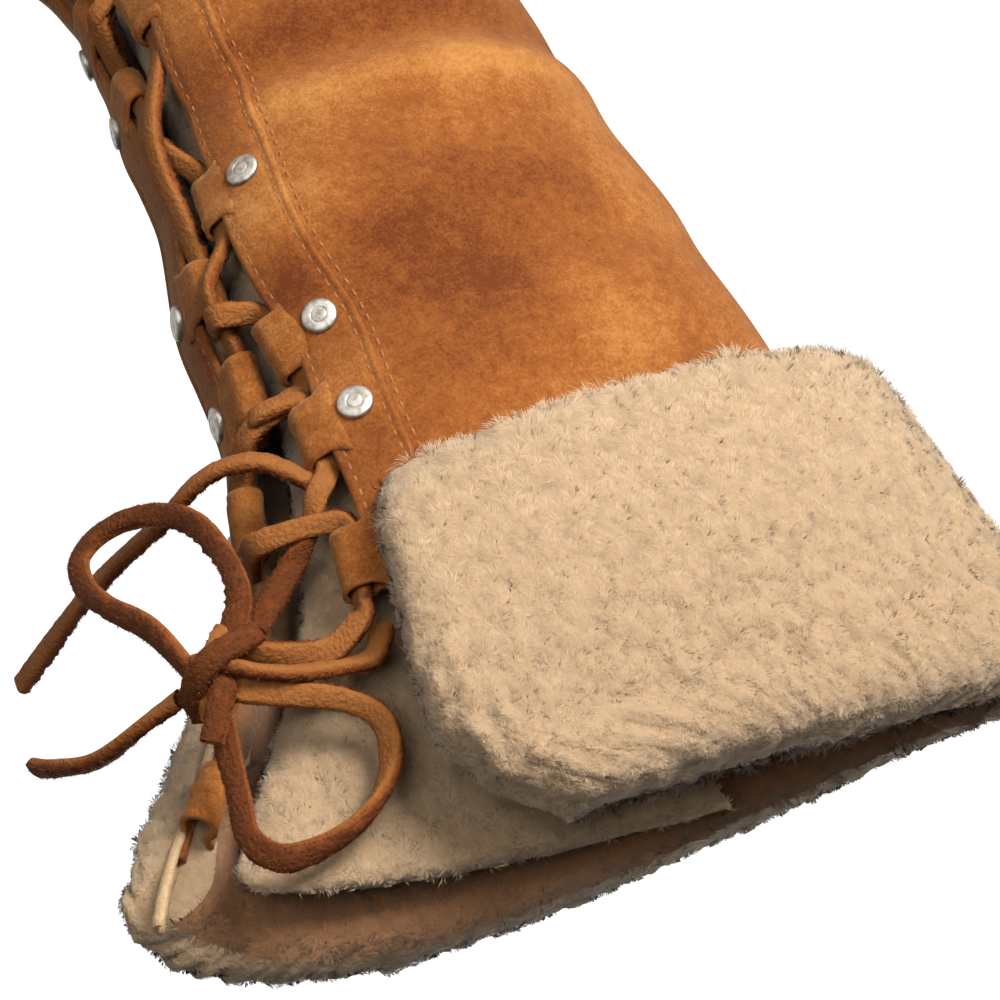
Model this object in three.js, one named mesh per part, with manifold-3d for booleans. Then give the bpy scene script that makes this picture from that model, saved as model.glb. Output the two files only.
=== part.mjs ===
// A tall suede mukluk boot lined with shearling: laced front, wool cuff turned down at the collar.
// Millimetres, +Z up, +X to the toe, -Y to the boot's right (outer) side, standing on z = 0.
import * as THREE from "three";
import { mergeVertices } from "three/addons/utils/BufferGeometryUtils.js";
import Module from "manifold-3d";

const wasm = await Module();
wasm.setup();

// Driving dimensions
const GAP = 0.3; // between pieces that meet
const WALL = 7; // hide and wool lining of the upper
const CUFF_WALL = 13; // hide and wool of the turned-down cuff
const CUFF_HEM_Z = 284;
const CUFF_BACK_EXTRA = 3.2; // the cuff is thicker at the back
const COLLAR_Z = 365;
const CREST_RISE = 4; // the cuff's fold above the collar
const TONGUE_WALL = 7;
const INSOLE_THICKNESS = 4;
const WELT = 2.5; // the sole's edge beyond the upper
const SOLE_FOREFOOT = 13.5;
const SOLE_HEEL_LIFT = 8.5;
const ARCH_RISE = 3.2;
const TOE_SPRING = 9.5;
const LUG_DEPTH = 2.5;
const LUG_GROOVE = 3.5;
const TAB_LENGTH = 14;
const TAB_OUTER = 3.9; // radius of a lace tab's tunnel outside
const TAB_BORE = 3.2;
const TAB_OFF = 4.65; // the tunnel's axis off the throat edge
const TAB_SINK = 2.6; // the tunnel's axis under the hide's face
const RIVET_RADIUS = 4.5;
const RIVET_HEIGHT = 2;
const RIVET_STEP = 6.4; // along the hide, from the throat edge
const RIVET_STAND = 0.6;
const LACE_RADIUS = 2;
const KNOT_HALF = [5, 5, 6.5];

// The upper's sections from the toe to the collar. top is on the front or instep line, back is on the
// sole or heel line, half is half the width, mid the sideways shift, full the squareness of the oval.
const FORM = [
  { at: "toe tip", topX: 145.5, topZ: 27, backX: 144, backZ: 13, half: 7, mid: 9, full: 2 },
  { at: "toe end", topX: 143, topZ: 35, backX: 142, backZ: 4, half: 20, mid: 8, full: 2.1 },
  { at: "toe", topX: 138, topZ: 43, backX: 136, backZ: -5, half: 31, mid: 7, full: 2.2 },
  { at: "toe box", topX: 128, topZ: 50, backX: 124, backZ: -13, half: 40, mid: 5, full: 2.3 },
  { at: "small toe", topX: 113, topZ: 56, backX: 106, backZ: -20, half: 46.5, mid: 2, full: 2.3 },
  { at: "ball", topX: 95, topZ: 62, backX: 78, backZ: -27, half: 49, mid: -0.2, full: 2.3 },
  { at: "vamp", topX: 75, topZ: 67, backX: 40, backZ: -34, half: 45.5, mid: -1.5, full: 2.3 },
  { at: "instep", topX: 54.5, topZ: 73, backX: 0, backZ: -40, half: 39, mid: -2, full: 2.3 },
  { at: "waist", topX: 34, topZ: 78.5, backX: -45, backZ: -44, half: 35.5, mid: -1, full: 2.3 },
  { at: "heel front", topX: 12, topZ: 84, backX: -95, backZ: -45, half: 36, mid: 0, full: 2.3 },
  { at: "heel seat", topX: -9.5, topZ: 92, backX: -123, backZ: -20, half: 36, mid: 0, full: 2.3 },
  { at: "heel", topX: -20, topZ: 104, backX: -126.5, backZ: 25, half: 36.5, mid: 0, full: 2.3 },
  { at: "heel top", topX: -23, topZ: 120, backX: -123.5, backZ: 68, half: 37.5, mid: 0, full: 2.2 },
  { at: "ankle", topX: -22.5, topZ: 138, backX: -119, backZ: 106, half: 38.5, mid: 0, full: 2.2 },
  { at: "shin", topX: -19, topZ: 160, backX: -119, backZ: 146, half: 38.5, mid: 0, full: 2.2 },
  { at: "leg 1", topX: -14.5, topZ: 190, backX: -121, backZ: 187, half: 38, mid: 0, full: 2.2 },
  { at: "leg 2", topX: -9, topZ: 225, backX: -124, backZ: 224, half: 36.5, mid: 0, full: 2.2 },
  { at: "leg 3", topX: -1, topZ: 255, backX: -126, backZ: 255, half: 34, mid: -0.5, full: 2.2 },
  { at: "under cuff", topX: 9, topZ: 285, backX: -128, backZ: 285, half: 30, mid: -1, full: 2.2 },
  { at: "cuff", topX: 27, topZ: 312, backX: -129.5, backZ: 312, half: 26, mid: -2, full: 2.3 },
  { at: "cuff top", topX: 48, topZ: 338, backX: -131, backZ: 338, half: 21, mid: -3.5, full: 2.4 },
  { at: "collar", topX: 64, topZ: COLLAR_Z, backX: -132, backZ: COLLAR_Z, half: 16, mid: -5, full: 2.4 },
];

// Soft slouch folds across the front: ridge (+) or trough (-), at height z and angle deg round the leg.
const FOLDS = [
  { z: 185, reach: 13, rise: -2, deg: 40, span: 75 },
  { z: 216, reach: 15, rise: 3, deg: 25, span: 55 },
  { z: 247, reach: 13, rise: -3, deg: 25, span: 45 },
];

// Falls of the collar's edge, round deg.
const COLLAR_DIPS = [
  { deg: -12, span: 45, fall: 26 },
  { deg: -125, span: 42, fall: 7 },
  { deg: 85, span: 28, fall: 5 },
];

// The throat's two edges: degrees round the leg from the front, right side plus, left side minus.
const THROAT = [
  { z: 94, right: 1, left: -1 },
  { z: 99, right: 23, left: -16 },
  { z: 112, right: 28, left: -10.5 },
  { z: 149, right: 36, left: -1.5 },
  { z: 170, right: 35, left: 9 },
  { z: 188, right: 35, left: 12 },
  { z: 208, right: 37.5, left: 11 },
  { z: 227, right: 39.5, left: 11 },
  { z: 242, right: 43, left: 7 },
  { z: 257, right: 46, left: -4 },
  { z: 273, right: 49, left: -10 },
  { z: 294, right: 54, left: -12 },
  { z: 326, right: 65, left: -9 },
  { z: 345, right: 71, left: -4 },
  { z: 358, right: 77, left: -8 },
  { z: 380, right: 92, left: -24 },
];
const TAB_Z = { right: [119.5, 143, 199, 239.5, 263, 295], left: [128, 154, 214.5, 240, 266, 290, 324] };
const RIVETS = 5; // a side, those below the cuff

// The cuff's front edges in degrees back from the throat's edges, hem to crest.
const CUFF_EDGE = [
  { z: 284, right: 6, left: 5 },
  { z: 320, right: 7, left: 4 },
  { z: 345, right: 2.5, left: 3 },
  { z: 369, right: 1.5, left: 3 },
];
// The cuff's section: part of its height, part of its thickness.
const CUFF_SECTION = [
  { high: 0, thick: 0.6 },
  { high: 0.05, thick: 0.92 },
  { high: 0.15, thick: 1 },
  { high: 0.36, thick: 1 },
  { high: 0.57, thick: 1 },
  { high: 0.77, thick: 1 },
  { high: 0.9, thick: 1 },
  { high: 0.96, thick: 0.85 },
  { high: 1, thick: 0.5 },
];

// The tongue's edges in degrees round the leg, its face's depth under the hide, and how much deeper
// its right edge leans into the leg.
const TONGUE = [
  { z: 90, right: 30, left: -26, inset: 10.8, lean: 0 },
  { z: 150, right: 46, left: -42, inset: 8.6, lean: 0 },
  { z: 200, right: 60, left: -50, inset: 9.5, lean: 0 },
  { z: 261, right: 74, left: -50, inset: 11.5, lean: 1 },
  { z: 310, right: 92, left: -34, inset: 12, lean: 3 },
  { z: 364, right: 108, left: -14, inset: 11.5, lean: 4.5 },
];
const TONGUE_TOP = { right: 367, left: 341 };

// Lace routes beyond the tabs, each a list of points from the knot or the tab outwards.
const KNOT = [30.5, -19, 309];
const LOOP_UPPER = [
  [29.5, -16.5, 305.5], [32, -11, 288.5], [36.5, -5, 276.5], [37, 0.5, 267.5], [35, 2.5, 260.5],
  [31, 0.5, 258], [25, -4, 258.5], [19, -10.5, 263.5], [15.5, -16.5, 271.5], [14.5, -20.5, 284],
  [17, -23, 295], [26, -20.5, 306],
];
const LOOP_LOWER = [
  [28, -22, 311.5], [14, -21.5, 318], [6, -20.5, 322], [1, -19.5, 327], [1, -18, 333],
  [5.5, -17, 340], [13.5, -17, 345.5], [23, -16, 347.5], [31, -16, 346.5], [34.5, -15.5, 340.5],
  [33, -16, 332.5], [30, -19.5, 316],
];
const END_LONG = [
  [-10.1, -19.6, 272.2], [-1.5, -21.5, 265], [6, -18.5, 262], [11.5, -12.5, 261], [16, -2, 260],
  [21.5, 12.5, 256.5], [28, 29, 253.5], [34.5, 48, 251.5], [41.5, 64.5, 251],
];
const END_LEFT = [[35, -17, 308], [40.5, -11.5, 307.5], [50, 0.5, 306], [55.5, 10.5, 300], [57, 20.5, 293.5]];
const END_STUB = [[29, -23.5, 314.5], [31.5, -25, 318.5], [34.5, -25.5, 323]];
const TAIL_TAB = [[-4, -26, 308], [4.5, -22.5, 311.5], [12, -21, 309], [21, -22, 304.5]];
const TAIL_SLOT = [[-9, -23, 277], [-3.5, -21, 284.5], [5.5, -18, 291.5], [14, -16, 298.5]];

const FINISH = {
  suede: { color: 0xb87838, roughness: 0.95, metalness: 0 },
  wool: { color: 0xe2cda6, roughness: 1, metalness: 0 },
  thong: { color: 0x8a4a22, roughness: 0.8, metalness: 0 },
  steel: { color: 0xa9a49a, roughness: 0.4, metalness: 1 },
  rubber: { color: 0x8a6a48, roughness: 0.85, metalness: 0 },
};

const SEGMENTS = 26; // points round a section
const RIGHT = "right";
const LEFT = "left";

// A smooth value between the rows of a table, by position t counted in rows.
function rowValue(rows, key, t) {
  const i = Math.min(Math.floor(t), rows.length - 2);
  const row = (k) => rows[THREE.MathUtils.clamp(k, 0, rows.length - 1)][key];
  const f = t - i;
  const [p0, p1, p2, p3] = [row(i - 1), row(i), row(i + 1), row(i + 2)];
  const bend = 2 * p0 - 5 * p1 + 4 * p2 - p3;
  const twist = 3 * (p1 - p2) + p3 - p0;
  return p1 + 0.5 * f * (p2 - p0 + f * (bend + f * twist));
}

// A straight-line value between the rows of a table, by height.
function heightValue(rows, key, z) {
  const last = rows.length - 1;
  if (z <= rows[0].z) return rows[0][key];
  if (z >= rows[last].z) return rows[last][key];
  const i = rows.findIndex((row, k) => k < last && z < rows[k + 1].z);
  const f = (z - rows[i].z) / (rows[i + 1].z - rows[i].z);
  return rows[i][key] + f * (rows[i + 1][key] - rows[i][key]);
}

// The row position whose front point lies at height z.
function rowAt(z) {
  let low = 0;
  let high = FORM.length - 1;
  for (let i = 0; i < 40; i++) {
    const mid = (low + high) / 2;
    if (rowValue(FORM, "topZ", mid) < z) low = mid;
    else high = mid;
  }
  return (low + high) / 2;
}

const turn = (deg) => ((((deg + 180) % 360) + 360) % 360) - 180;

function foldRise(z, deg) {
  return FOLDS.reduce((sum, fold) => {
    const up = (z - fold.z) / fold.reach;
    const round = turn(deg - fold.deg) / fold.span;
    return sum + fold.rise * Math.exp(-up * up - round * round);
  }, 0);
}

// A point of the upper's form: row position t, degrees round from the front, distance out of the hide.
function formPoint(t, deg, out) {
  const top = new THREE.Vector3(rowValue(FORM, "topX", t), 0, rowValue(FORM, "topZ", t));
  const back = new THREE.Vector3(rowValue(FORM, "backX", t), 0, rowValue(FORM, "backZ", t));
  const centre = top.clone().add(back).multiplyScalar(0.5);
  const along = top.clone().sub(back).multiplyScalar(0.5);
  const power = 2 / rowValue(FORM, "full", t);
  const angle = THREE.MathUtils.degToRad(deg);
  const bulge = (v) => Math.sign(v) * Math.abs(v) ** power;
  const rise = out + foldRise(top.z, deg);
  const reach = along.length() + rise;
  const side = rowValue(FORM, "half", t) + rise;
  const point = centre.addScaledVector(along.normalize(), reach * bulge(Math.cos(angle)));
  point.y = rowValue(FORM, "mid", t) - side * bulge(Math.sin(angle));
  point.x += Math.max(out, 0) * Math.max(0, 1 - t / TOE_ROWS);
  return point;
}

// The hide's outward normal.
function formNormal(t, deg) {
  const round = formPoint(t, deg + 1, 0).sub(formPoint(t, deg - 1, 0));
  const up = formPoint(t + 0.05, deg, 0).sub(formPoint(t - 0.05, deg, 0));
  return up.cross(round).normalize();
}

// Triangles to a solid, shared corners merged.
function solidOf(points, triangles) {
  const flat = new THREE.BufferGeometry();
  flat.setAttribute("position", new THREE.Float32BufferAttribute(points.flatMap((p) => p.toArray()), 3));
  flat.setIndex(triangles);
  return toSolid(flat);
}

function toSolid(geometry) {
  const bare = geometry.clone();
  bare.deleteAttribute("normal");
  bare.deleteAttribute("uv");
  const merged = mergeVertices(bare, 1e-3);
  return new wasm.Manifold(
    new wasm.Mesh({
      numProp: 3,
      vertProperties: merged.attributes.position.array,
      triVerts: new Uint32Array(merged.index.array),
    }),
  );
}

function toGeometry(solid) {
  const mesh = solid.getMesh();
  const geometry = new THREE.BufferGeometry();
  geometry.setAttribute("position", new THREE.BufferAttribute(mesh.vertProperties, 3));
  geometry.setIndex(new THREE.BufferAttribute(mesh.triVerts, 1));
  geometry.computeVertexNormals();
  return geometry;
}

// A closed loft through rings of equal point count, with flat fans at its two ends.
function loft(rings) {
  const count = rings[0].length;
  const points = rings.flat();
  const triangles = [];
  for (let i = 0; i + 1 < rings.length; i++) {
    for (let j = 0; j < count; j++) {
      const a = i * count + j;
      const b = i * count + ((j + 1) % count);
      triangles.push(a, b, a + count, b, b + count, a + count);
    }
  }
  for (const [start, flip] of [[0, true], [(rings.length - 1) * count, false]]) {
    for (let j = 1; j + 1 < count; j++) {
      triangles.push(start, ...(flip ? [start + j + 1, start + j] : [start + j, start + j + 1]));
    }
  }
  const solid = solidOf(points, triangles);
  return solid.volume() > 0 ? solid : solidOf(points, triangles.reverse());
}

// A closed plate between two grids of points of the same size.
function plate(front, rear) {
  const rows = front.length;
  const cols = front[0].length;
  const points = [...front.flat(), ...rear.flat()];
  const at = (side, i, j) => side * rows * cols + i * cols + j;
  const triangles = [];
  const quad = (a, b, c, d) => triangles.push(a, b, c, a, c, d);
  for (let i = 0; i + 1 < rows; i++) {
    for (let j = 0; j + 1 < cols; j++) {
      quad(at(0, i, j), at(0, i, j + 1), at(0, i + 1, j + 1), at(0, i + 1, j));
      quad(at(1, i, j), at(1, i + 1, j), at(1, i + 1, j + 1), at(1, i, j + 1));
    }
    quad(at(0, i, 0), at(0, i + 1, 0), at(1, i + 1, 0), at(1, i, 0));
    quad(at(0, i, cols - 1), at(1, i, cols - 1), at(1, i + 1, cols - 1), at(0, i + 1, cols - 1));
  }
  for (let j = 0; j + 1 < cols; j++) {
    quad(at(0, 0, j), at(1, 0, j), at(1, 0, j + 1), at(0, 0, j + 1));
    const top = rows - 1;
    quad(at(0, top, j), at(0, top, j + 1), at(1, top, j + 1), at(1, top, j));
  }
  const solid = solidOf(points, triangles);
  return solid.volume() > 0 ? solid : solidOf(points, triangles.reverse());
}

function steps(from, to, count) {
  return Array.from({ length: count + 1 }, (_, i) => from + ((to - from) * i) / count);
}

const TOE_ROWS = 4; // the rows over which an outer form also reaches forward
const SHAFT_START = 14; // the row where the leg begins, with closer rings for its folds
const DIP_START = 17; // the row where the collar's dip begins
const INNER_START = 1.6; // the lining's toe end lies behind the tip

// The collar's height round the leg, and the row position carried down with it.
function collarZ(deg) {
  const fall = (dip) => dip.fall * Math.exp(-((turn(deg - dip.deg) / dip.span) ** 2));
  return COLLAR_Z - COLLAR_DIPS.reduce((sum, dip) => sum + fall(dip), 0);
}

function dippedRow(t, deg) {
  const part = (t - DIP_START) / (FORM.length - 1 - DIP_START);
  return part <= 0 ? t : DIP_START + part * (rowAt(collarZ(deg)) - DIP_START);
}

// The upper's form grown or shrunk by out, from a start row to the collar or past it.
function formSolid(out, start, beyond) {
  const foot = steps(start, SHAFT_START, Math.round((SHAFT_START - start) * 1.3));
  const leg = steps(SHAFT_START, FORM.length - 1, (FORM.length - 1 - SHAFT_START) * 3).slice(1);
  const row = (t, deg) => (beyond > 0 ? t : dippedRow(t, deg));
  const ring = (t) => steps(0, 360, SEGMENTS).slice(1).map((deg) => formPoint(row(t, deg), deg, out));
  const rings = [...foot, ...leg].map(ring);
  if (beyond > 0) rings.push(ring(FORM.length - 1).map((p) => p.setZ(p.z + beyond)));
  return loft(rings);
}

const spring = (x) => THREE.MathUtils.clamp((x - 95) / 52, 0, 2) ** 2;

function soleBottom(x) {
  const arch = THREE.MathUtils.clamp((x + 62) / 97, 0, 1);
  return ARCH_RISE * Math.sin(Math.PI * arch) ** 2 + TOE_SPRING * spring(x);
}

function soleTop(x) {
  const lift = SOLE_HEEL_LIFT * (1 - THREE.MathUtils.smoothstep(x, -60, 60));
  return SOLE_FOREFOOT + lift + 0.8 * TOE_SPRING * spring(x);
}

// A block as wide as the boot between two heights that follow x.
function slab(low, high) {
  const wide = 90;
  return loft(
    steps(-160, 170, 44).map((x) => [
      new THREE.Vector3(x, -wide, low(x)),
      new THREE.Vector3(x, wide, low(x)),
      new THREE.Vector3(x, wide, high(x)),
      new THREE.Vector3(x, -wide, high(x)),
    ]),
  );
}

function throatDeg(side, z) {
  return heightValue(THROAT, side, z);
}

// The wedge cut out of the front between the throat's two edges.
function throatWedge() {
  const inside = 13;
  const outside = 34;
  return loft(
    steps(THROAT[0].z, COLLAR_Z + 16, 36).map((z) => {
      const t = Math.min(rowAt(z), FORM.length - 1);
      const lift = Math.max(0, z - COLLAR_Z);
      const edge = (side, out) => {
        const deg = throatDeg(side, z);
        const point = formPoint(t, deg, 0).addScaledVector(formNormal(t, deg), out);
        return point.setZ(point.z + lift);
      };
      const right = edge(RIGHT, outside);
      const left = edge(LEFT, outside);
      const front = right.clone().add(left).multiplyScalar(0.5).add(new THREE.Vector3(70, 0, 0));
      return [edge(RIGHT, -inside), right, front, left, edge(LEFT, -inside)];
    }),
  );
}

function makeUpper() {
  const hollow = formSolid(0, 0, 0).subtract(formSolid(-WALL, INNER_START, 6));
  const above = slab((x) => soleTop(x) + GAP, () => COLLAR_Z + 40);
  return hollow.intersect(above).subtract(throatWedge());
}

function makeOutsole() {
  const block = slab(soleBottom, soleTop).intersect(formSolid(WELT, 0, 0));
  const grooveAt = [-108, -94, -80, 44, 57, 70, 83, 96, 109];
  return grooveAt.reduce((sole, x) => {
    const bar = new THREE.BoxGeometry(LUG_GROOVE, 200, 2 * LUG_DEPTH);
    bar.translate(x, 0, soleBottom(x));
    return sole.subtract(toSolid(bar));
  }, block);
}

function makeInsole() {
  const layer = slab((x) => soleTop(x) + GAP, (x) => soleTop(x) + GAP + INSOLE_THICKNESS);
  return layer.intersect(formSolid(-WALL - GAP, INNER_START, 0));
}

// A grid of points on the form. place gives the height, the degrees and the distance out of the hide.
function formGrid(rows, cols, place) {
  return rows.map((high) =>
    steps(0, 1, cols).map((across) => {
      const { z, deg, out } = place(high, across);
      const point = formPoint(rowAt(Math.min(z, COLLAR_Z)), deg, out);
      return point.setZ(point.z + Math.max(0, z - COLLAR_Z));
    }),
  );
}

const mix = THREE.MathUtils.lerp;

function makeTongue() {
  const face = (depth) =>
    formGrid(steps(0, 1, 14), 10, (high, across) => {
      const z = mix(TONGUE[0].z, mix(TONGUE_TOP.left, TONGUE_TOP.right, across), high);
      const deg = mix(heightValue(TONGUE, LEFT, z), heightValue(TONGUE, RIGHT, z), across);
      const lean = heightValue(TONGUE, "lean", z) * across;
      return { z, deg, out: -heightValue(TONGUE, "inset", z) - lean - depth };
    });
  return plate(face(0), face(TONGUE_WALL));
}

function makeCuff() {
  const crest = COLLAR_Z + CREST_RISE;
  const face = (outAt) =>
    formGrid(CUFF_SECTION.map((row) => row.high), 28, (high, across) => {
      const level = mix(CUFF_HEM_Z, crest, high);
      const right = throatDeg(RIGHT, level) + heightValue(CUFF_EDGE, RIGHT, level);
      const left = 360 + throatDeg(LEFT, level) - heightValue(CUFF_EDGE, LEFT, level);
      const deg = mix(right, left, across);
      const z = mix(CUFF_HEM_Z, collarZ(deg) + CREST_RISE, high);
      return { z, deg, out: outAt(high, deg) };
    });
  const outer = face((high, deg) => {
    const back = (1 - Math.cos(THREE.MathUtils.degToRad(deg))) / 2;
    const thick = CUFF_SECTION.find((row) => row.high === high).thick;
    return thick * (CUFF_WALL + CUFF_BACK_EXTRA * back);
  });
  return plate(outer, face(() => -2)).subtract(formSolid(GAP, 0, 12));
}

// A place on a throat edge at height z: the hide's point, its normal, the way off the edge into the
// gap, and the way up along the edge.
function throatFrame(side, z) {
  const t = rowAt(z);
  const deg = throatDeg(side, z);
  const point = formPoint(t, deg, 0);
  const normal = formNormal(t, deg);
  const above = formPoint(rowAt(z + 3), throatDeg(side, z + 3), 0);
  const below = formPoint(rowAt(z - 3), throatDeg(side, z - 3), 0);
  const up = above.sub(below).normalize();
  const off = up.clone().cross(normal).multiplyScalar(side === RIGHT ? 1 : -1).normalize();
  return { t, deg, point, normal, up, off };
}

// The middle of a tab's tunnel, moved along its axis.
function tabPoint(side, z, along) {
  const { point, normal, up, off } = throatFrame(side, z);
  return point
    .addScaledVector(off, TAB_OFF)
    .addScaledVector(normal, -TAB_SINK)
    .addScaledVector(up, along);
}

function placeAlong(mesh, point, axis) {
  mesh.position.copy(point);
  mesh.quaternion.setFromUnitVectors(new THREE.Vector3(0, 1, 0), axis);
}

function makeTab(side, z) {
  const half = TAB_LENGTH / 2;
  const profile = [
    [TAB_BORE, -half], [TAB_OUTER, -half], [TAB_OUTER, half], [TAB_BORE, half], [TAB_BORE, -half],
  ].map(([r, y]) => new THREE.Vector2(r, y));
  const mesh = new THREE.Mesh(new THREE.LatheGeometry(profile, 10));
  placeAlong(mesh, tabPoint(side, z, 0), throatFrame(side, z).up);
  return mesh;
}

// Degrees from the throat edge to a point a given distance back along the hide.
function degBack(side, z, distance) {
  const { t, deg } = throatFrame(side, z);
  const way = side === RIGHT ? 0.25 : -0.25;
  let at = deg;
  let gone = 0;
  while (gone < distance) {
    gone += formPoint(t, at + way, 0).distanceTo(formPoint(t, at, 0));
    at += way;
  }
  return at;
}

function makeRivet(side, z) {
  const t = rowAt(z);
  const deg = degBack(side, z, RIVET_STEP);
  const r = RIVET_RADIUS;
  const h = RIVET_HEIGHT;
  const profile = [[0, 0], [r, 0], [r, 0.5 * h], [0.7 * r, 0.9 * h], [0, h]];
  const mesh = new THREE.Mesh(
    new THREE.LatheGeometry(profile.map(([x, y]) => new THREE.Vector2(x, y)), 10),
  );
  const normal = formNormal(t, deg);
  placeAlong(mesh, formPoint(t, deg, 0).addScaledVector(normal, RIVET_STAND), normal);
  return mesh;
}

// An eight-sided cord along a list of points.
function cordGeometry(points, count) {
  const ring = steps(0, 2 * Math.PI, 8).slice(1);
  const section = new THREE.Shape(
    ring.map((a) => new THREE.Vector2(LACE_RADIUS * Math.cos(a), LACE_RADIUS * Math.sin(a))),
  );
  const extrudePath = new THREE.CatmullRomCurve3(points, false, "centripetal");
  return new THREE.ExtrudeGeometry(section, { steps: count, bevelEnabled: false, extrudePath });
}

// The thong's two strands, each from tab to tab across the throat, joined where they cross.
function makeLaceCrossings() {
  const reach = TAB_LENGTH / 2 + 2.5;
  const belly = new THREE.Vector3(6, -4, 0); // how far a crossing bows out
  const strand = (first, tabs, tail) => {
    const points = [];
    tabs.forEach(([side, z], i) => {
      if (i > 0) {
        const mid = points.at(-1).clone().add(tabPoint(side, z, -reach)).multiplyScalar(0.5);
        points.push(mid.add(belly));
      }
      points.push(tabPoint(side, z, -reach), tabPoint(side, z, 0), tabPoint(side, z, reach));
    });
    return toSolid(cordGeometry([...first, ...points, ...tail], 5 * tabs.length));
  };
  const zigzag = (first, second, count) =>
    steps(0, count - 1, count - 1).map((i) => (i % 2 ? [second, TAB_Z[second][i]] : [first, TAB_Z[first][i]]));
  const bottom = tabPoint(RIGHT, TAB_Z.right[0], -reach)
    .add(tabPoint(LEFT, TAB_Z.left[0], -reach))
    .multiplyScalar(0.5)
    .add(new THREE.Vector3(5, 0, -2));
  const toPoint = (p) => new THREE.Vector3(...p);
  const one = strand([bottom], zigzag(LEFT, RIGHT, 6), TAIL_TAB.map(toPoint));
  const two = strand([bottom], zigzag(RIGHT, LEFT, 5), TAIL_SLOT.map(toPoint));
  return one.add(two);
}

function makeKnot(grown) {
  const knot = new THREE.SphereGeometry(1, 12, 8);
  knot.scale(...KNOT_HALF.map((half) => half + grown));
  knot.translate(...KNOT);
  return knot;
}

const boot = new THREE.Group();

function add(name, piece, finish) {
  const mesh = piece.isMesh ? piece : new THREE.Mesh(piece.isBufferGeometry ? piece : toGeometry(piece));
  mesh.name = name;
  mesh.material = new THREE.MeshStandardMaterial(FINISH[finish]);
  boot.add(mesh);
}

// A cord that stops short of the knot.
function addCord(name, route, count) {
  const cord = toSolid(cordGeometry(route.map((p) => new THREE.Vector3(...p)), count));
  add(name, cord.subtract(toSolid(makeKnot(2 * GAP))), "thong");
}

add("outsole", makeOutsole(), "rubber");
add("insole", makeInsole(), "wool");
add("upper", makeUpper(), "suede");
add("tongue", makeTongue(), "wool");
add("cuff", makeCuff(), "wool");
for (const side of [RIGHT, LEFT]) {
  TAB_Z[side].forEach((z, i) => {
    add(`lace_tab_${side}_${i + 1}`, makeTab(side, z), "suede");
    if (i < RIVETS) add(`rivet_${side}_${i + 1}`, makeRivet(side, z), "steel");
  });
}
add("lace_crossings", makeLaceCrossings().subtract(toSolid(makeKnot(2 * GAP))), "thong");
add("lace_knot", makeKnot(0), "thong");
addCord("lace_loop_upper", LOOP_UPPER, 14);
addCord("lace_loop_lower", LOOP_LOWER, 14);
addCord("lace_end_long", END_LONG, 12);
addCord("lace_end_left", END_LEFT, 6);
addCord("lace_end_stub", END_STUB, 3);

export default boot;
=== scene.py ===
"""Looks of a tall suede mukluk boot lined with shearling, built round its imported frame.

Sizes in the classes are millimetres in the part's frame: +X to the toe, -Y to the outer (right) side,
+Z up. They become metres where a mesh is made. Angles round the leg are degrees from the front, plus
on the right side.
"""

import logging
import math
from dataclasses import dataclass, field
from enum import Enum
from functools import partial
from typing import Callable, NamedTuple

import bmesh
import bpy
import numpy as np
from mathutils import Matrix, Vector, kdtree, noise


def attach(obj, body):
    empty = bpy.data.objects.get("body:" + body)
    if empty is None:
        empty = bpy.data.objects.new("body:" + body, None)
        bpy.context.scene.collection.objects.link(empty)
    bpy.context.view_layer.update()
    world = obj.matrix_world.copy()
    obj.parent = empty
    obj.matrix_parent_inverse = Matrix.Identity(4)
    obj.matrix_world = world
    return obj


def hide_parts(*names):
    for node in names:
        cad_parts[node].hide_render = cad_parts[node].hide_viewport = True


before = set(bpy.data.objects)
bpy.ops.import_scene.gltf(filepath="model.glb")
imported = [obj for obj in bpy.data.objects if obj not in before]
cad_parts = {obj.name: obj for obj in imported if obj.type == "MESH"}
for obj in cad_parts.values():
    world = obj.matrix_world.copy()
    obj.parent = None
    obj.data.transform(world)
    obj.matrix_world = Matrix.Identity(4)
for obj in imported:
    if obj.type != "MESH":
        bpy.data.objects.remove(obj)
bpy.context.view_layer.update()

MM = 0.001
BODY = "root"
IMAGE_SIDE = 1000  # pixels
SENSOR = 36.0  # mm

Array = np.ndarray
Spread = Callable[[Array], Array]
Piece = bpy.types.Object
Socket = bpy.types.NodeSocket
log = logging.getLogger("mukluk")


class Side(Enum):
    """The boot's two sides."""

    RIGHT = "right"
    LEFT = "left"

    @property
    def sign(self) -> int:
        """Plus on the right, the way the angles run."""
        return 1 if self is Side.RIGHT else -1


class Slot(Enum):
    """The record's material slots."""

    SUEDE = "suede"
    WOOL = "wool"
    THONG = "thong"
    STEEL = "steel"
    RUBBER = "rubber"


class Section(NamedTuple):
    """One oval section of the upper, from its front or instep point to its sole or heel point."""

    top_x: float
    top_z: float
    back_x: float
    back_z: float
    half: float
    mid: float
    full: float


class Fold(NamedTuple):
    """A soft ridge (plus) or trough (minus) across the leg."""

    z: float
    reach: float
    rise: float
    deg: float
    span: float
    climb: float = 0.0


class Dip(NamedTuple):
    """A fall of the collar's edge."""

    deg: float
    span: float
    fall: float


class Edges(NamedTuple):
    """Two angles or distances at a height, right and left."""

    z: float
    right: float
    left: float


class TongueRow(NamedTuple):
    """The tongue's edges at a height, its depth under the hide and its right edge's lean inwards."""

    z: float
    right: float
    left: float
    inset: float
    lean: float


class NapAndPaintedLight(NamedTuple):
    """A lighter (plus) or darker (minus) place on the suede; most are brushing, a few are painted highlight
    and painted shade.
    """

    z: float
    deg: float
    reach: float
    span: float
    shade: float
    climb: float = 0.0


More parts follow.
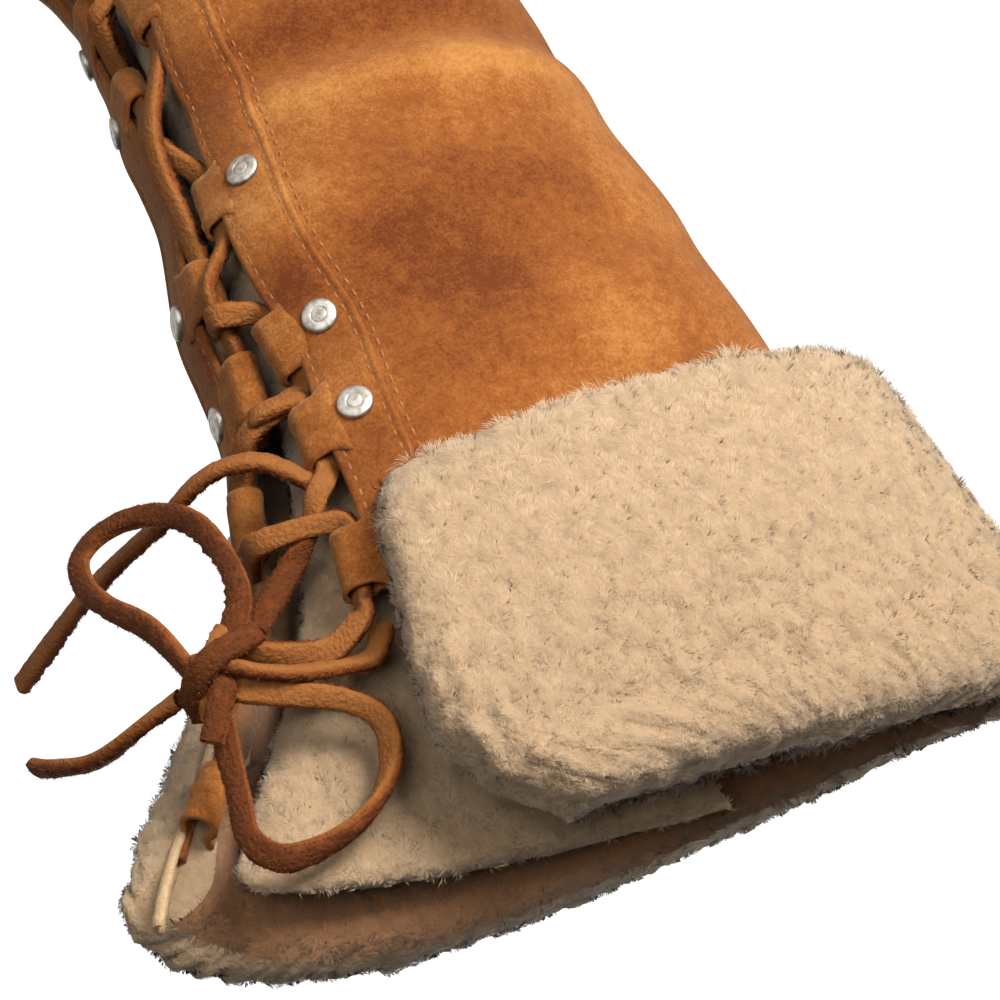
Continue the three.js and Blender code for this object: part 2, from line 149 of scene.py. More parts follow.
COLLAR_Z = 365.0
SECTIONS = (
    Section(145.5, 27, 144, 13, 7, 9, 2),
    Section(143, 35, 142, 4, 20, 8, 2.1),
    Section(138, 43, 136, -5, 31, 7, 2.2),
    Section(128, 50, 124, -13, 40, 5, 2.3),
    Section(113, 56, 106, -20, 46.5, 2, 2.3),
    Section(95, 62, 78, -27, 49, -0.2, 2.3),
    Section(75, 67, 40, -34, 45.5, -1.5, 2.3),
    Section(54.5, 73, 0, -40, 39, -2, 2.3),
    Section(34, 78.5, -45, -44, 35.5, -1, 2.3),
    Section(12, 84, -95, -45, 36, 0, 2.3),
    Section(-9.5, 92, -123, -20, 36, 0, 2.3),
    Section(-20, 104, -126.5, 25, 36.5, 0, 2.3),
    Section(-23, 120, -123.5, 68, 37.5, 0, 2.2),
    Section(-22.5, 138, -119, 106, 38.5, 0, 2.2),
    Section(-19, 160, -119, 146, 38.5, 0, 2.2),
    Section(-14.5, 190, -121, 187, 38, 0, 2.2),
    Section(-9, 225, -124, 224, 36.5, 0, 2.2),
    Section(-1, 255, -126, 255, 34, -0.5, 2.2),
    Section(9, 285, -128, 285, 30, -1, 2.2),
    Section(27, 312, -129.5, 312, 26, -2, 2.3),
    Section(48, 338, -131, 338, 21, -3.5, 2.4),
    Section(64, COLLAR_Z, -132, COLLAR_Z, 16, -5, 2.4),
)
FOLDS = (
    Fold(185, 13, -2, 40, 75),
    Fold(216, 15, 3, 25, 55),
    Fold(247, 13, -3, 25, 45),
)
# Finer creases of the worn leg: the ankle's bend and the slouch behind the lacing.
CREASES = (
    Fold(124, 5, -1.6, 55, 40, 0.10),
    Fold(134, 5, 1.2, 60, 40, 0.10),
    Fold(124, 5, -1.6, -55, 40, -0.10),
    Fold(134, 5, 1.2, -60, 40, -0.10),
    Fold(180, 5, -2.4, 95, 60, 0.10),
    Fold(190, 5, 1.7, 95, 60, 0.10),
    Fold(199, 8, 0.8, 120, 35, 0.10),
    Fold(240, 7, -1.0, 105, 50, 0.06),
    Fold(262, 10, 1.2, 110, 45, 0.04),
    Fold(205, 8, -1.2, 200, 60, -0.05),
    Fold(228, 9, 1.2, 205, 60, -0.05),
    Fold(180, 8, -1.4, -75, 50, -0.04),
    Fold(224, 9, 1.3, -80, 50, -0.04),
)
DIPS = (Dip(-12, 45, 26), Dip(-125, 42, 7), Dip(85, 28, 5))
THROAT = (
    Edges(94, 1, -1),
    Edges(99, 23, -16),
    Edges(112, 28, -10.5),
    Edges(149, 36, -1.5),
    Edges(170, 35, 9),
    Edges(188, 35, 12),
    Edges(208, 37.5, 11),
    Edges(227, 39.5, 11),
    Edges(242, 43, 7),
    Edges(257, 46, -4),
    Edges(273, 49, -10),
    Edges(294, 54, -12),
    Edges(326, 65, -9),
    Edges(345, 71, -4),
    Edges(358, 77, -8),
    Edges(380, 92, -24),
)
TAB_Z = {
    Side.RIGHT: (119.5, 143, 199, 239.5, 263, 295),
    Side.LEFT: (128, 154, 214.5, 240, 266, 290, 324),
}
RIVETS = 5  # a side, those below the cuff
TAB_LENGTH = 14.0
TAB_OFF = 4.65  # the tunnel's middle, off the throat edge
TAB_SINK = 2.6  # the same, below the hide
CUFF_EDGE = (Edges(284, 6, 5), Edges(300, 3, 3), Edges(320, 1.5, 1.5), Edges(345, 0.5, 1), Edges(369, 0.5, 1))
TONGUE = (
    TongueRow(90, 30, -26, 10.8, 0),
    TongueRow(150, 46, -42, 8.6, 0),
    TongueRow(200, 60, -50, 9.5, 0),
    TongueRow(261, 74, -50, 11.5, 1),
    TongueRow(310, 92, -34, 12, 3),
    TongueRow(364, 108, -14, 11.5, 4.5),
)
LACE_NODES = {
    "bow_upper": "lace_loop_upper",
    "bow_lower": "lace_loop_lower",
    "loose_end_long": "lace_end_long",
    "loose_end_left": "lace_end_left",
}
NAP_AND_PAINTED_LIGHT = (
    # Most rows are the suede's brushing. The rows at 192 and 174 are a painted highlight on the crease's
    # ridge and painted shade in the trough below it; the row at -5 degrees is painted shade over the left
    # facing.
    NapAndPaintedLight(192, 95, 5, 65, 0.9, 0.10),
    NapAndPaintedLight(174, 95, 9, 65, -1.0, 0.10),
    NapAndPaintedLight(205, 125, 10, 22, 0.4),
    NapAndPaintedLight(228, 85, 15, 32, -0.75, 0.02),
    NapAndPaintedLight(246, 92, 7, 48, -0.5, 0.03),
    NapAndPaintedLight(262, 70, 12, 24, -0.5),
    NapAndPaintedLight(235, 138, 30, 16, 0.35),
    NapAndPaintedLight(266, 112, 8, 25, 0.2),
    NapAndPaintedLight(213, 60, 8, 12, 0.3),
    NapAndPaintedLight(230, 48, 8, 9, -1.0),
    NapAndPaintedLight(258, 50, 9, 9, 0.4),
    NapAndPaintedLight(208, 46, 7, 9, 0.3),
    NapAndPaintedLight(185, 44, 10, 10, -0.5),
    NapAndPaintedLight(150, 60, 14, 60, 0.3),
    NapAndPaintedLight(90, 90, 20, 90, -0.3),
    NapAndPaintedLight(70, 0, 18, 50, 0.35),
    NapAndPaintedLight(60, 200, 25, 80, 0.3),
    NapAndPaintedLight(200, 230, 16, 60, -0.4, -0.05),
    NapAndPaintedLight(235, 250, 14, 60, 0.4, -0.05),
    NapAndPaintedLight(200, -5, 60, 22, -0.6),
)


class Lamp(NamedTuple):
    """A square soft light: its name, place and side in metres, and its power in watts."""

    name: str
    place: tuple
    size: float
    power: float


LAMPS = (
    Lamp("key", (-0.5, -1.1, 0.12), 0.7, 38),
    Lamp("fill", (0.7, -1.3, 0.5), 0.8, 10),
    Lamp("back", (-1.2, 2.4, 0.35), 1.2, 60),
)


def column(rows: tuple, name: str) -> Array:
    """One named column of a table."""
    return np.array([getattr(row, name) for row in rows], dtype=float)


def at_height(rows: tuple, name: str, z: Array) -> Array:
    """A straight-line value between the rows of a table, by height."""
    return np.interp(z, column(rows, "z"), column(rows, name))


def turn(deg: Array) -> Array:
    """An angle brought between -180 and 180."""
    return (np.asarray(deg, dtype=float) + 180) % 360 - 180


def mix(a: Array, b: Array, f: Array) -> Array:
    """A value between a and b."""
    return a + (b - a) * f


def unit(v: Array) -> Array:
    """Vectors brought to length one."""
    return v / np.maximum(np.linalg.norm(v, axis=-1, keepdims=True), 1e-9)


def smoothstep(x: Array, low: float, high: float) -> Array:
    """A soft step from 0 at low to 1 at high."""
    f = np.clip((np.asarray(x, dtype=float) - low) / (high - low), 0, 1)
    return f * f * (3 - 2 * f)


def spots(rows: tuple, name: str, z: Array, deg: Array) -> Array:
    """Soft spots of folds, of the suede's brushing and of its painted light, added up.

    Args:
        rows: the folds or the suede's lighter and darker places, some of them painted highlight and shade.
        name: the column that says how much each adds.
        z: heights.
        deg: angles round the leg.

    Returns:
        The sums.
    """
    total = np.zeros(np.broadcast(z, deg).shape)
    for row in rows:
        away = turn(deg - row.deg)
        up = (z - row.z - row.climb * away) / row.reach
        total = total + getattr(row, name) * np.exp(-(up**2) - (away / row.span) ** 2)
    return total


def walked(line: Array) -> Array:
    """The way walked along a line to each of its points."""
    return np.concatenate([[0], np.cumsum(np.linalg.norm(np.diff(line, axis=0), axis=1))])


def between(places: Array, marks: Array, line: Array) -> Array:
    """Points of a line at places between its marks."""
    return np.stack([np.interp(places, marks, line[:, k]) for k in range(3)], -1)


@dataclass
class BootForm:
    """The upper's form, worked out from its sections, folds and collar."""

    sections: tuple = SECTIONS
    folds: tuple = FOLDS + CREASES
    wall: float = 7.0
    toe_rows: float = 4.0
    dip_start: float = 17.0
    table: dict = field(default_factory=dict)

    def __post_init__(self) -> None:
        """Keeps the columns and a table of heights for looking rows up."""
        self.table = {name: column(self.sections, name) for name in Section._fields}
        self.rows = np.linspace(0, self.last, 4000)
        self.levels = np.maximum.accumulate(self.value("top_z", self.rows))

    @property
    def last(self) -> int:
        """The collar's row."""
        return len(self.sections) - 1

    def value(self, name: str, t: Array) -> Array:
        """A smooth value between the sections.

        Args:
            name: the section's column.
            t: positions counted in rows.

        Returns:
            The values.
        """
        t = np.asarray(t, dtype=float)
        numbers = self.table[name]
        i = np.clip(np.floor(t).astype(int), 0, self.last - 1)
        p0, p1, p2, p3 = (numbers[np.clip(i + k, 0, self.last)] for k in (-1, 0, 1, 2))
        f = t - i
        bend = 2 * p0 - 5 * p1 + 4 * p2 - p3
        twist = 3 * (p1 - p2) + p3 - p0
        return p1 + 0.5 * f * (p2 - p0 + f * (bend + f * twist))

    def row_at(self, z: Array) -> Array:
        """The row whose front point lies at height z."""
        return np.interp(z, self.levels, self.rows)

    def point(self, t: Array, deg: Array, out: Array = 0.0) -> Array:
        """Points of the form.

        Args:
            t: row positions.
            deg: degrees round from the front.
            out: distance out of the hide.

        Returns:
            Points in millimetres, last axis x, y, z.
        """
        t, deg, out = np.broadcast_arrays(
            np.asarray(t, dtype=float), np.asarray(deg, dtype=float), np.asarray(out, dtype=float)
        )
        top = np.stack([self.value("top_x", t), self.value("top_z", t)], -1)
        back = np.stack([self.value("back_x", t), self.value("back_z", t)], -1)
        along = (top - back) / 2
        length = np.linalg.norm(along, axis=-1)
        power = 2 / self.value("full", t)
        angle = np.radians(deg)
        cos, sin = (np.sign(v) * np.abs(v) ** power for v in (np.cos(angle), np.sin(angle)))
        rise = out + spots(self.folds, "rise", top[..., 1], deg)
        middle = (top + back) / 2 + along * (((length + rise) * cos) / length)[..., None]
        y = self.value("mid", t) - (self.value("half", t) + rise) * sin
        x = middle[..., 0] + np.maximum(out, 0) * np.maximum(0, 1 - t / self.toe_rows)
        return np.stack([x, y, middle[..., 1]], -1)

    def normal(self, t: Array, deg: Array) -> Array:
        """The hide's outward normals.

        Args:
            t: row positions.
            deg: degrees round from the front.

        Returns:
            Unit vectors.
        """
        round_ = self.point(t, np.asarray(deg) + 1.0) - self.point(t, np.asarray(deg) - 1.0)
        up = self.point(np.asarray(t) + 0.05, deg) - self.point(np.asarray(t) - 0.05, deg)
        return unit(np.cross(up, round_))

    def collar_z(self, deg: Array) -> Array:
        """The collar's height round the leg."""
        return COLLAR_Z - sum(d.fall * np.exp(-((turn(deg - d.deg) / d.span) ** 2)) for d in DIPS)

    def dipped_row(self, t: Array, deg: Array) -> Array:
        """The row carried down with the collar's dips.

        Args:
            t: row positions.
            deg: degrees round from the front.

        Returns:
            Row positions.
        """
        part = (t - self.dip_start) / (self.last - self.dip_start)
        low = self.dip_start + part * (self.row_at(self.collar_z(deg)) - self.dip_start)
        return np.where(part <= 0, t, low)

    def raised(self, z: Array, deg: Array, out: Array) -> Array:
        """Points by height, carried straight up above the collar.

        Args:
            z: heights.
            deg: degrees round from the front.
            out: distance out of the hide.

        Returns:
            Points in millimetres.
        """
        points = self.point(self.row_at(np.minimum(z, COLLAR_Z)), deg, out)
        points[..., 2] += np.maximum(0, z - COLLAR_Z)
        return points

    def throat(self, side: Side, z: Array) -> Array:
        """A throat edge's angle at a height."""
        return at_height(THROAT, side.value, z)

    def back_from_edge(self, side: Side, z: float, distances: Array) -> Array:
        """Angles at given distances back along the hide from a throat edge.

        Args:
            side: which edge.
            z: height of the row.
            distances: millimetres from the edge, negative into the gap.

        Returns:
            Angles in degrees.
        """
        start = float(self.throat(side, z))
        degs = start + side.sign * np.linspace(-20, 75, 381)
        points = self.point(self.row_at(z), degs)
        gone = walked(points)
        return np.interp(distances, gone - np.interp(0, side.sign * (degs - start), gone), degs)

    def edge_frame(self, side: Side, z: float) -> tuple[Array, Array, Array, Array]:
        """A place on a throat edge.

        Args:
            side: which edge.
            z: its height.

        Returns:
            The hide's point, its normal, the way up the edge and the way off it into the gap.
        """
        t, deg = self.row_at(z), self.throat(side, z)
        normal = self.normal(t, deg)
        above = self.point(self.row_at(z + 3), self.throat(side, z + 3))
        below = self.point(self.row_at(z - 3), self.throat(side, z - 3))
        up = unit(above - below)
        return self.point(t, deg), normal, up, unit(np.cross(up, normal)) * side.sign


FORM = BootForm()


def grid_quads(rows: int, cols: int, start: int = 0, flip: bool = False) -> Array:
    """Quads over a grid of points counted row by row.

    Args:
        rows: rows of points.
        cols: points in a row.
        start: the first point's number.
        flip: turns the faces round.

    Returns:
        Point numbers, four a face.
    """
    i, j = np.meshgrid(np.arange(rows - 1), np.arange(cols - 1), indexing="ij")
    a = (start + i * cols + j).ravel()
    quads = np.stack([a, a + cols, a + cols + 1, a + 1], -1)
    return quads[:, ::-1] if flip else quads


def add_mesh(name: str, points: Array, faces: Array, finish: "Finish", merge: float = 0.0) -> Piece:
    """Makes a smooth-shaded piece that rides with the boot.

    Args:
        name: the piece's name.
        points: millimetres, one row a point.
        faces: point numbers, one row a face.
        finish: its material.
        merge: distance in millimetres under which points are joined.

    Returns:
        The new object.
    """
    mesh = bpy.data.meshes.new(name)
    count, corners = faces.shape
    mesh.vertices.add(len(points))
    mesh.vertices.foreach_set("co", (np.asarray(points) * MM).astype(np.float32).ravel())
    mesh.loops.add(count * corners)
    mesh.loops.foreach_set("vertex_index", faces.astype(np.int32).ravel())
    mesh.polygons.add(count)
    mesh.polygons.foreach_set("loop_start", np.arange(0, count * corners, corners, dtype=np.int32))
    mesh.polygons.foreach_set("use_smooth", np.ones(count, dtype=bool))
    mesh.update(calc_edges=True)
    mesh.validate()
    if merge:
        work = bmesh.new()
        work.from_mesh(mesh)
        bmesh.ops.remove_doubles(work, verts=work.verts, dist=merge * MM)
        work.to_mesh(mesh)
        work.free()
    piece = bpy.data.objects.new(name, mesh)
    bpy.context.scene.collection.objects.link(piece)
    mesh.materials.append(finish.material())
    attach(piece, BODY)
    log.info("%s: %d faces", name, len(mesh.polygons))
    return piece


def add_sheet(name: str, grid: Array, finish: "Finish", flip: bool = False, merge: float = 0.0) -> Piece:
    """Makes a piece from a grid of points.

    Args:
        name: the piece's name.
        grid: rows by columns by 3 points, millimetres.
        finish: its material.
        flip: turns the faces round.
        merge: distance in millimetres under which points are joined.

    Returns:
        The new object.
    """
    return add_mesh(name, grid.reshape(-1, 3), grid_quads(*grid.shape[:2], flip=flip), finish, merge)


class Stored(Enum):
    """Kinds of value stored at a piece's points: the layer's type and its property."""

    NUMBER = ("FLOAT", "value")
    VECTOR = ("FLOAT_VECTOR", "vector")
    COLOUR = ("FLOAT_COLOR", "color")


def store(piece: Piece, name: str, kind: Stored, values: Array) -> None:
    """Stores a value at each point of a piece.

    Args:
        piece: the piece.
        name: the layer's name.
        kind: what the values are.
        values: one row a point.
    """
    kind_name, key = kind.value
    layer = piece.data.attributes.new(name, kind_name, "POINT")
    layer.data.foreach_set(key, np.asarray(values).astype(np.float32).ravel())


class Shader:
    """A material's nodes, made and joined by name."""

    def __init__(self, name: str) -> None:
        """Starts a material with its principled shader.

        Args:
            name: the material's name.
        """
        self.material = bpy.data.materials.new(name)
        self.material.use_nodes = True
        self.tree = self.material.node_tree
        self.shader = self.tree.nodes["Principled BSDF"]

    def node(self, kind: str, **settings: object) -> bpy.types.ShaderNode:
        """A new node.

        Args:
            kind: the node type's name after ShaderNode.
            settings: its properties, or its inputs by name with spaces as underscores.

        Returns:
            The node.
        """
        made = self.tree.nodes.new(f"ShaderNode{kind}")
        for key, value in settings.items():
            if hasattr(made, key):
                setattr(made, key, value)
            else:
                made.inputs[key.replace("_", " ")].default_value = value
        return made

    def link(self, source: Socket, target: Socket) -> None:
        """Joins two sockets."""
        self.tree.links.new(source, target)

    def noise(self, scale: float, detail: float = 3.0) -> Socket:
        """Noise in the boot's own space.

        Args:
            scale: features a metre.
            detail: how many finer layers it has.

        Returns:
            The noise's socket.
        """
        place = self.node("TexCoord")
        cloud = self.node("TexNoise", Scale=scale, Detail=detail)
        self.link(place.outputs["Object"], cloud.inputs["Vector"])
        return cloud.outputs["Fac"]

    def math(self, operation: str, a: object, b: object = 0.0, c: object = 0.0) -> Socket:
        """A sum of two or three numbers or sockets.

        Args:
            operation: the math node's operation.
            a: a socket or a number.
            b: a socket or a number.
            c: a socket or a number, for the operations that take three.

        Returns:
            The result's socket.
        """
        made = self.node("Math", operation=operation)
        for place, value in zip(made.inputs, (a, b, c)):
            if isinstance(value, Socket):
                self.link(value, place)
            else:
                place.default_value = value
        return made.outputs[0]

    def ramp(self, factor: Socket, stops: tuple) -> Socket:
        """Colours along a number.

        Args:
            factor: the number's socket.
            stops: pairs of a place and a linear colour.

        Returns:
            The colour's socket.
        """
        made = self.node("ValToRGB")
        band = made.color_ramp.elements
        while len(band) < len(stops):
            band.new(0.5)
        for element, (place, colour) in zip(band, stops):
            element.position = place
            element.color = (*colour, 1)
        self.link(factor, made.inputs["Fac"])
        return made.outputs["Color"]

    def bump(self, height: Socket, strength: float, distance: float) -> None:
        """Roughens the surface.

        Args:
            height: the height's socket.
            strength: how much of it shows.
            distance: the height of 1, in metres.
        """
        made = self.node("Bump", Strength=strength, Distance=distance)
        self.link(height, made.inputs["Height"])
        self.link(made.outputs["Normal"], self.shader.inputs["Normal"])

    def colour(self, source: Socket) -> None:
        """Colours the surface."""
        self.link(source, self.shader.inputs["Base Color"])

    def set(self, **values: object) -> None:
        """Sets the shader's own sockets, spaces written as underscores."""
        for key, value in values.items():
            self.shader.inputs[key.replace("_", " ")].default_value = value


@dataclass(frozen=True)
class Finish:
    """A finish, made into a material once."""

    name: str
    slot: Slot

    def material(self) -> bpy.types.Material:
        """The finish's material, made at first use.

        Returns:
            The material.
        """
        made = bpy.data.materials.get(self.name)
        if made is None:
            s = Shader(self.name)
            self.paint(s)
            made = s.material
        return made

    def paint(self, s: Shader) -> None:
        """Sets the material's nodes."""
        raise NotImplementedError


@dataclass(frozen=True)
class Suede(Finish):
    """Brushed suede: brown in three depths, by a stored layer of brushing with some painted highlight and
    shade, and by cloudy noise.
    """

    dark: tuple = (0.12, 0.026, 0.0045)
    middle: tuple = (0.26, 0.078, 0.0135)
    light: tuple = (0.44, 0.19, 0.048)
    lift: float = 0.5

    def paint(self, s: Shader) -> None:
        """Sets the material's nodes.

        Args:
            s: the material's nodes.
        """
        nap_and_painted_light = s.node("Attribute", attribute_name="nap_and_painted_light").outputs["Fac"]
        clouds = s.math("MULTIPLY_ADD", s.noise(45, 4), 0.75, self.lift - 0.375)
        grain = s.math("MULTIPLY_ADD", s.noise(380, 5), 0.5, -0.25)
        fibre = s.math("MULTIPLY_ADD", s.noise(1500, 3), 0.7, -0.35)
        depth = s.math("ADD", s.math("ADD", clouds, grain), fibre)
        # The stored layer adds the suede's brushing and its painted highlight and painted shade.
        brushed_and_painted = s.math("MULTIPLY_ADD", nap_and_painted_light, 0.36, depth)
        s.colour(s.ramp(brushed_and_painted, ((0.08, self.dark), (0.5, self.middle), (0.95, self.light))))
        s.set(Roughness=0.96, Specular_IOR_Level=0.15, Sheen_Weight=0.25, Sheen_Roughness=0.5)
        s.set(Sheen_Tint=(0.9, 0.6, 0.32, 1))
        s.bump(s.math("ADD", s.noise(2200, 3), s.math("MULTIPLY", s.noise(500, 3), 1.4)), 0.5, 0.0004)


@dataclass(frozen=True)
class Wool(Finish):
    """Wool: the colour stored on each strand, or the felt's own where none is stored."""

    felt: tuple = (0.38, 0.25, 0.14)
    stranded: bool = True

    def paint(self, s: Shader) -> None:
        """Sets the material's nodes.

        Args:
            s: the material's nodes.
        """
        if self.stranded:
            s.colour(s.node("Attribute", attribute_name="tint").outputs["Color"])
            dome = s.node("Attribute", attribute_name="dome").outputs["Vector"]
            s.link(dome, s.shader.inputs["Normal"])
        else:
            pale = tuple(min(1.0, c * 1.12) for c in self.felt)
            deep = tuple(c * 0.82 for c in self.felt)
            fine = s.math("MULTIPLY", s.noise(420, 3), 0.7)
            broad = s.math("MULTIPLY", s.noise(90, 3), 0.3)
            curls = s.math("ADD", fine, broad)
            s.colour(s.ramp(curls, ((0.3, deep), (0.5, self.felt), (0.7, pale))))
            s.bump(s.noise(600, 4), 0.8, 0.001)
        s.set(Roughness=1.0, Specular_IOR_Level=0.1, Sheen_Weight=0.3, Sheen_Roughness=0.6)
        s.set(Sheen_Tint=(1.0, 0.93, 0.8, 1))


@dataclass(frozen=True)
class Thong(Finish):
    """Cut leather: a smooth tan face and a rough rust flesh side, by the side stored on the mesh."""

    smooth: tuple = (0.24, 0.076, 0.016)
    rough: tuple = (0.19, 0.05, 0.011)
    worn: tuple = (0.28, 0.10, 0.024)

    def paint(self, s: Shader) -> None:
        """Sets the material's nodes.

        Args:
            s: the material's nodes.
        """
        side = s.node("Attribute", attribute_name="face").outputs["Fac"]
        tone = s.math("ADD", side, s.math("MULTIPLY_ADD", s.noise(350, 4), 0.9, -0.45))
        deep = tuple(c * 0.55 for c in self.rough)
        s.colour(s.ramp(tone, ((0.0, deep), (0.3, self.rough), (0.75, self.smooth), (1.0, self.worn))))
        s.set(Roughness=0.9, Specular_IOR_Level=0.15)
        s.bump(s.noise(1100, 5), 0.9, 0.0009)


@dataclass(frozen=True)
class Pewter(Finish):
    """Dull pewter with darker hollows."""

    hollow: tuple = (0.20, 0.18, 0.15)
    bright: tuple = (0.42, 0.39, 0.34)

    def paint(self, s: Shader) -> None:
        """Sets the material's nodes.

        Args:
            s: the material's nodes.
        """
        s.colour(s.ramp(s.noise(700, 4), ((0.3, self.hollow), (0.6, self.bright))))
        s.set(Metallic=1.0, Roughness=0.5)
        s.bump(s.noise(2500, 2), 0.15, 0.0002)


@dataclass(frozen=True)
class Crepe(Finish):
    """Matt brown sole rubber with a fine pebble."""

    dark: tuple = (0.15, 0.075, 0.03)
    pale: tuple = (0.27, 0.15, 0.07)

    def paint(self, s: Shader) -> None:
        """Sets the material's nodes.

        Args:
            s: the material's nodes.
        """
        s.colour(s.ramp(s.noise(160, 5), ((0.3, self.dark), (0.7, self.pale))))
        s.set(Roughness=0.8, Specular_IOR_Level=0.3)
        s.bump(s.noise(900, 4), 0.5, 0.0006)


@dataclass(frozen=True)
class Thread(Finish):
    """Waxed stitching thread."""

    tint: tuple = (0.38, 0.15, 0.05)

    def paint(self, s: Shader) -> None:
        """Sets the material's nodes.

        Args:
            s: the material's nodes.
        """
        dark = tuple(c * 0.6 for c in self.tint)
        s.colour(s.ramp(s.noise(1500, 2), ((0.35, dark), (0.65, self.tint))))
        s.set(Roughness=0.7, Specular_IOR_Level=0.15)


SUEDE = Suede("golden_suede", Slot.SUEDE)
SUEDE_EDGE = Suede("suede_cut_edge", Slot.SUEDE, lift=0.32)
SKIN = Suede(
    "cream_skin", Slot.SUEDE, dark=(0.30, 0.17, 0.08), middle=(0.52, 0.35, 0.19), light=(0.66, 0.48, 0.29)
)
FLEECE = Wool("curly_wool", Slot.WOOL)
FELT = Wool("wool_ground", Slot.WOOL, stranded=False)
# The lining's wool is a dark brown copy of the cream wool: painted shade inside the leg.
FELT_PAINTED_SHADE = Wool("wool_lining_painted_shade", Slot.WOOL, felt=(0.22, 0.10, 0.042), stranded=False)
THONG = Thong("thong_leather", Slot.THONG)
PEWTER = Pewter("pewter", Slot.STEEL)
CREPE = Crepe("sole_crepe", Slot.RUBBER)
THREAD = Thread("tan_thread", Slot.SUEDE)
THREAD_PALE = Thread("cream_thread", Slot.WOOL, tint=(0.72, 0.58, 0.38))


def plate(front: Array, rear: Array) -> tuple[Array, Array]:
    """A closed sheet between two grids of points.

    Args:
        front: the outer grid, rows by columns by 3.
        rear: the inner grid of the same size.

    Returns:
        Points and faces.
    """
    rows, cols = front.shape[:2]
    size = rows * cols
    at = np.arange(size).reshape(rows, cols)
    rim = np.concatenate([at[0], at[1:, -1], at[-1, -2::-1], at[-2:0:-1, 0]])
    after = np.roll(rim, -1)
    walls = np.stack([rim, after, after + size, rim + size], -1)
    faces = np.concatenate([grid_quads(rows, cols), grid_quads(rows, cols, size, True), walls])
    return np.concatenate([front.reshape(-1, 3), rear.reshape(-1, 3)]), faces


def nap_and_painted_light_at(z: Array, deg: Array) -> Array:
    """The suede's lighter and darker places: brushing, with some painted highlight and painted shade."""
    return spots(NAP_AND_PAINTED_LIGHT, "shade", z, deg)


def cloud(points: Array, scale: float, seed: float) -> Array:
    """Soft noise, about -1 to 1.

    Args:
        points: millimetres, last axis x, y, z.
        scale: the features' size, about, in millimetres.
        seed: a number for each different noise.

    Returns:
        The noise at each point.
    """
    shift = Vector((seed * 13.7, seed * 7.3, seed * 3.1))
    flat = points.reshape(-1, 3) / scale
    made = np.fromiter((noise.noise(Vector(p) + shift) for p in flat), float, len(flat))
    return made.reshape(points.shape[:-1])


def puffs(points: Array) -> Array:
    """Rounded locks of wool with sharp valleys between, 0 in a valley and about 1 on top."""
    locks = points * np.array([1.0, 1.0, 0.5])
    return 1.6 * np.abs(cloud(locks, 4.6, 1)) + 0.5 * np.abs(cloud(locks, 2.4, 2))


def grid_normals(grid: Array) -> Array:
    """Normals of a grid of points, on the side that grid_quads faces."""
    return unit(np.cross(np.gradient(grid, axis=0), np.gradient(grid, axis=1)))


def cell_areas(grid: Array) -> Array:
    """The areas of a grid's cells."""
    a, b, c = grid[:-1, :-1], grid[:-1, 1:], grid[1:, :-1]
    return np.linalg.norm(np.cross(b - a, c - a), axis=-1)


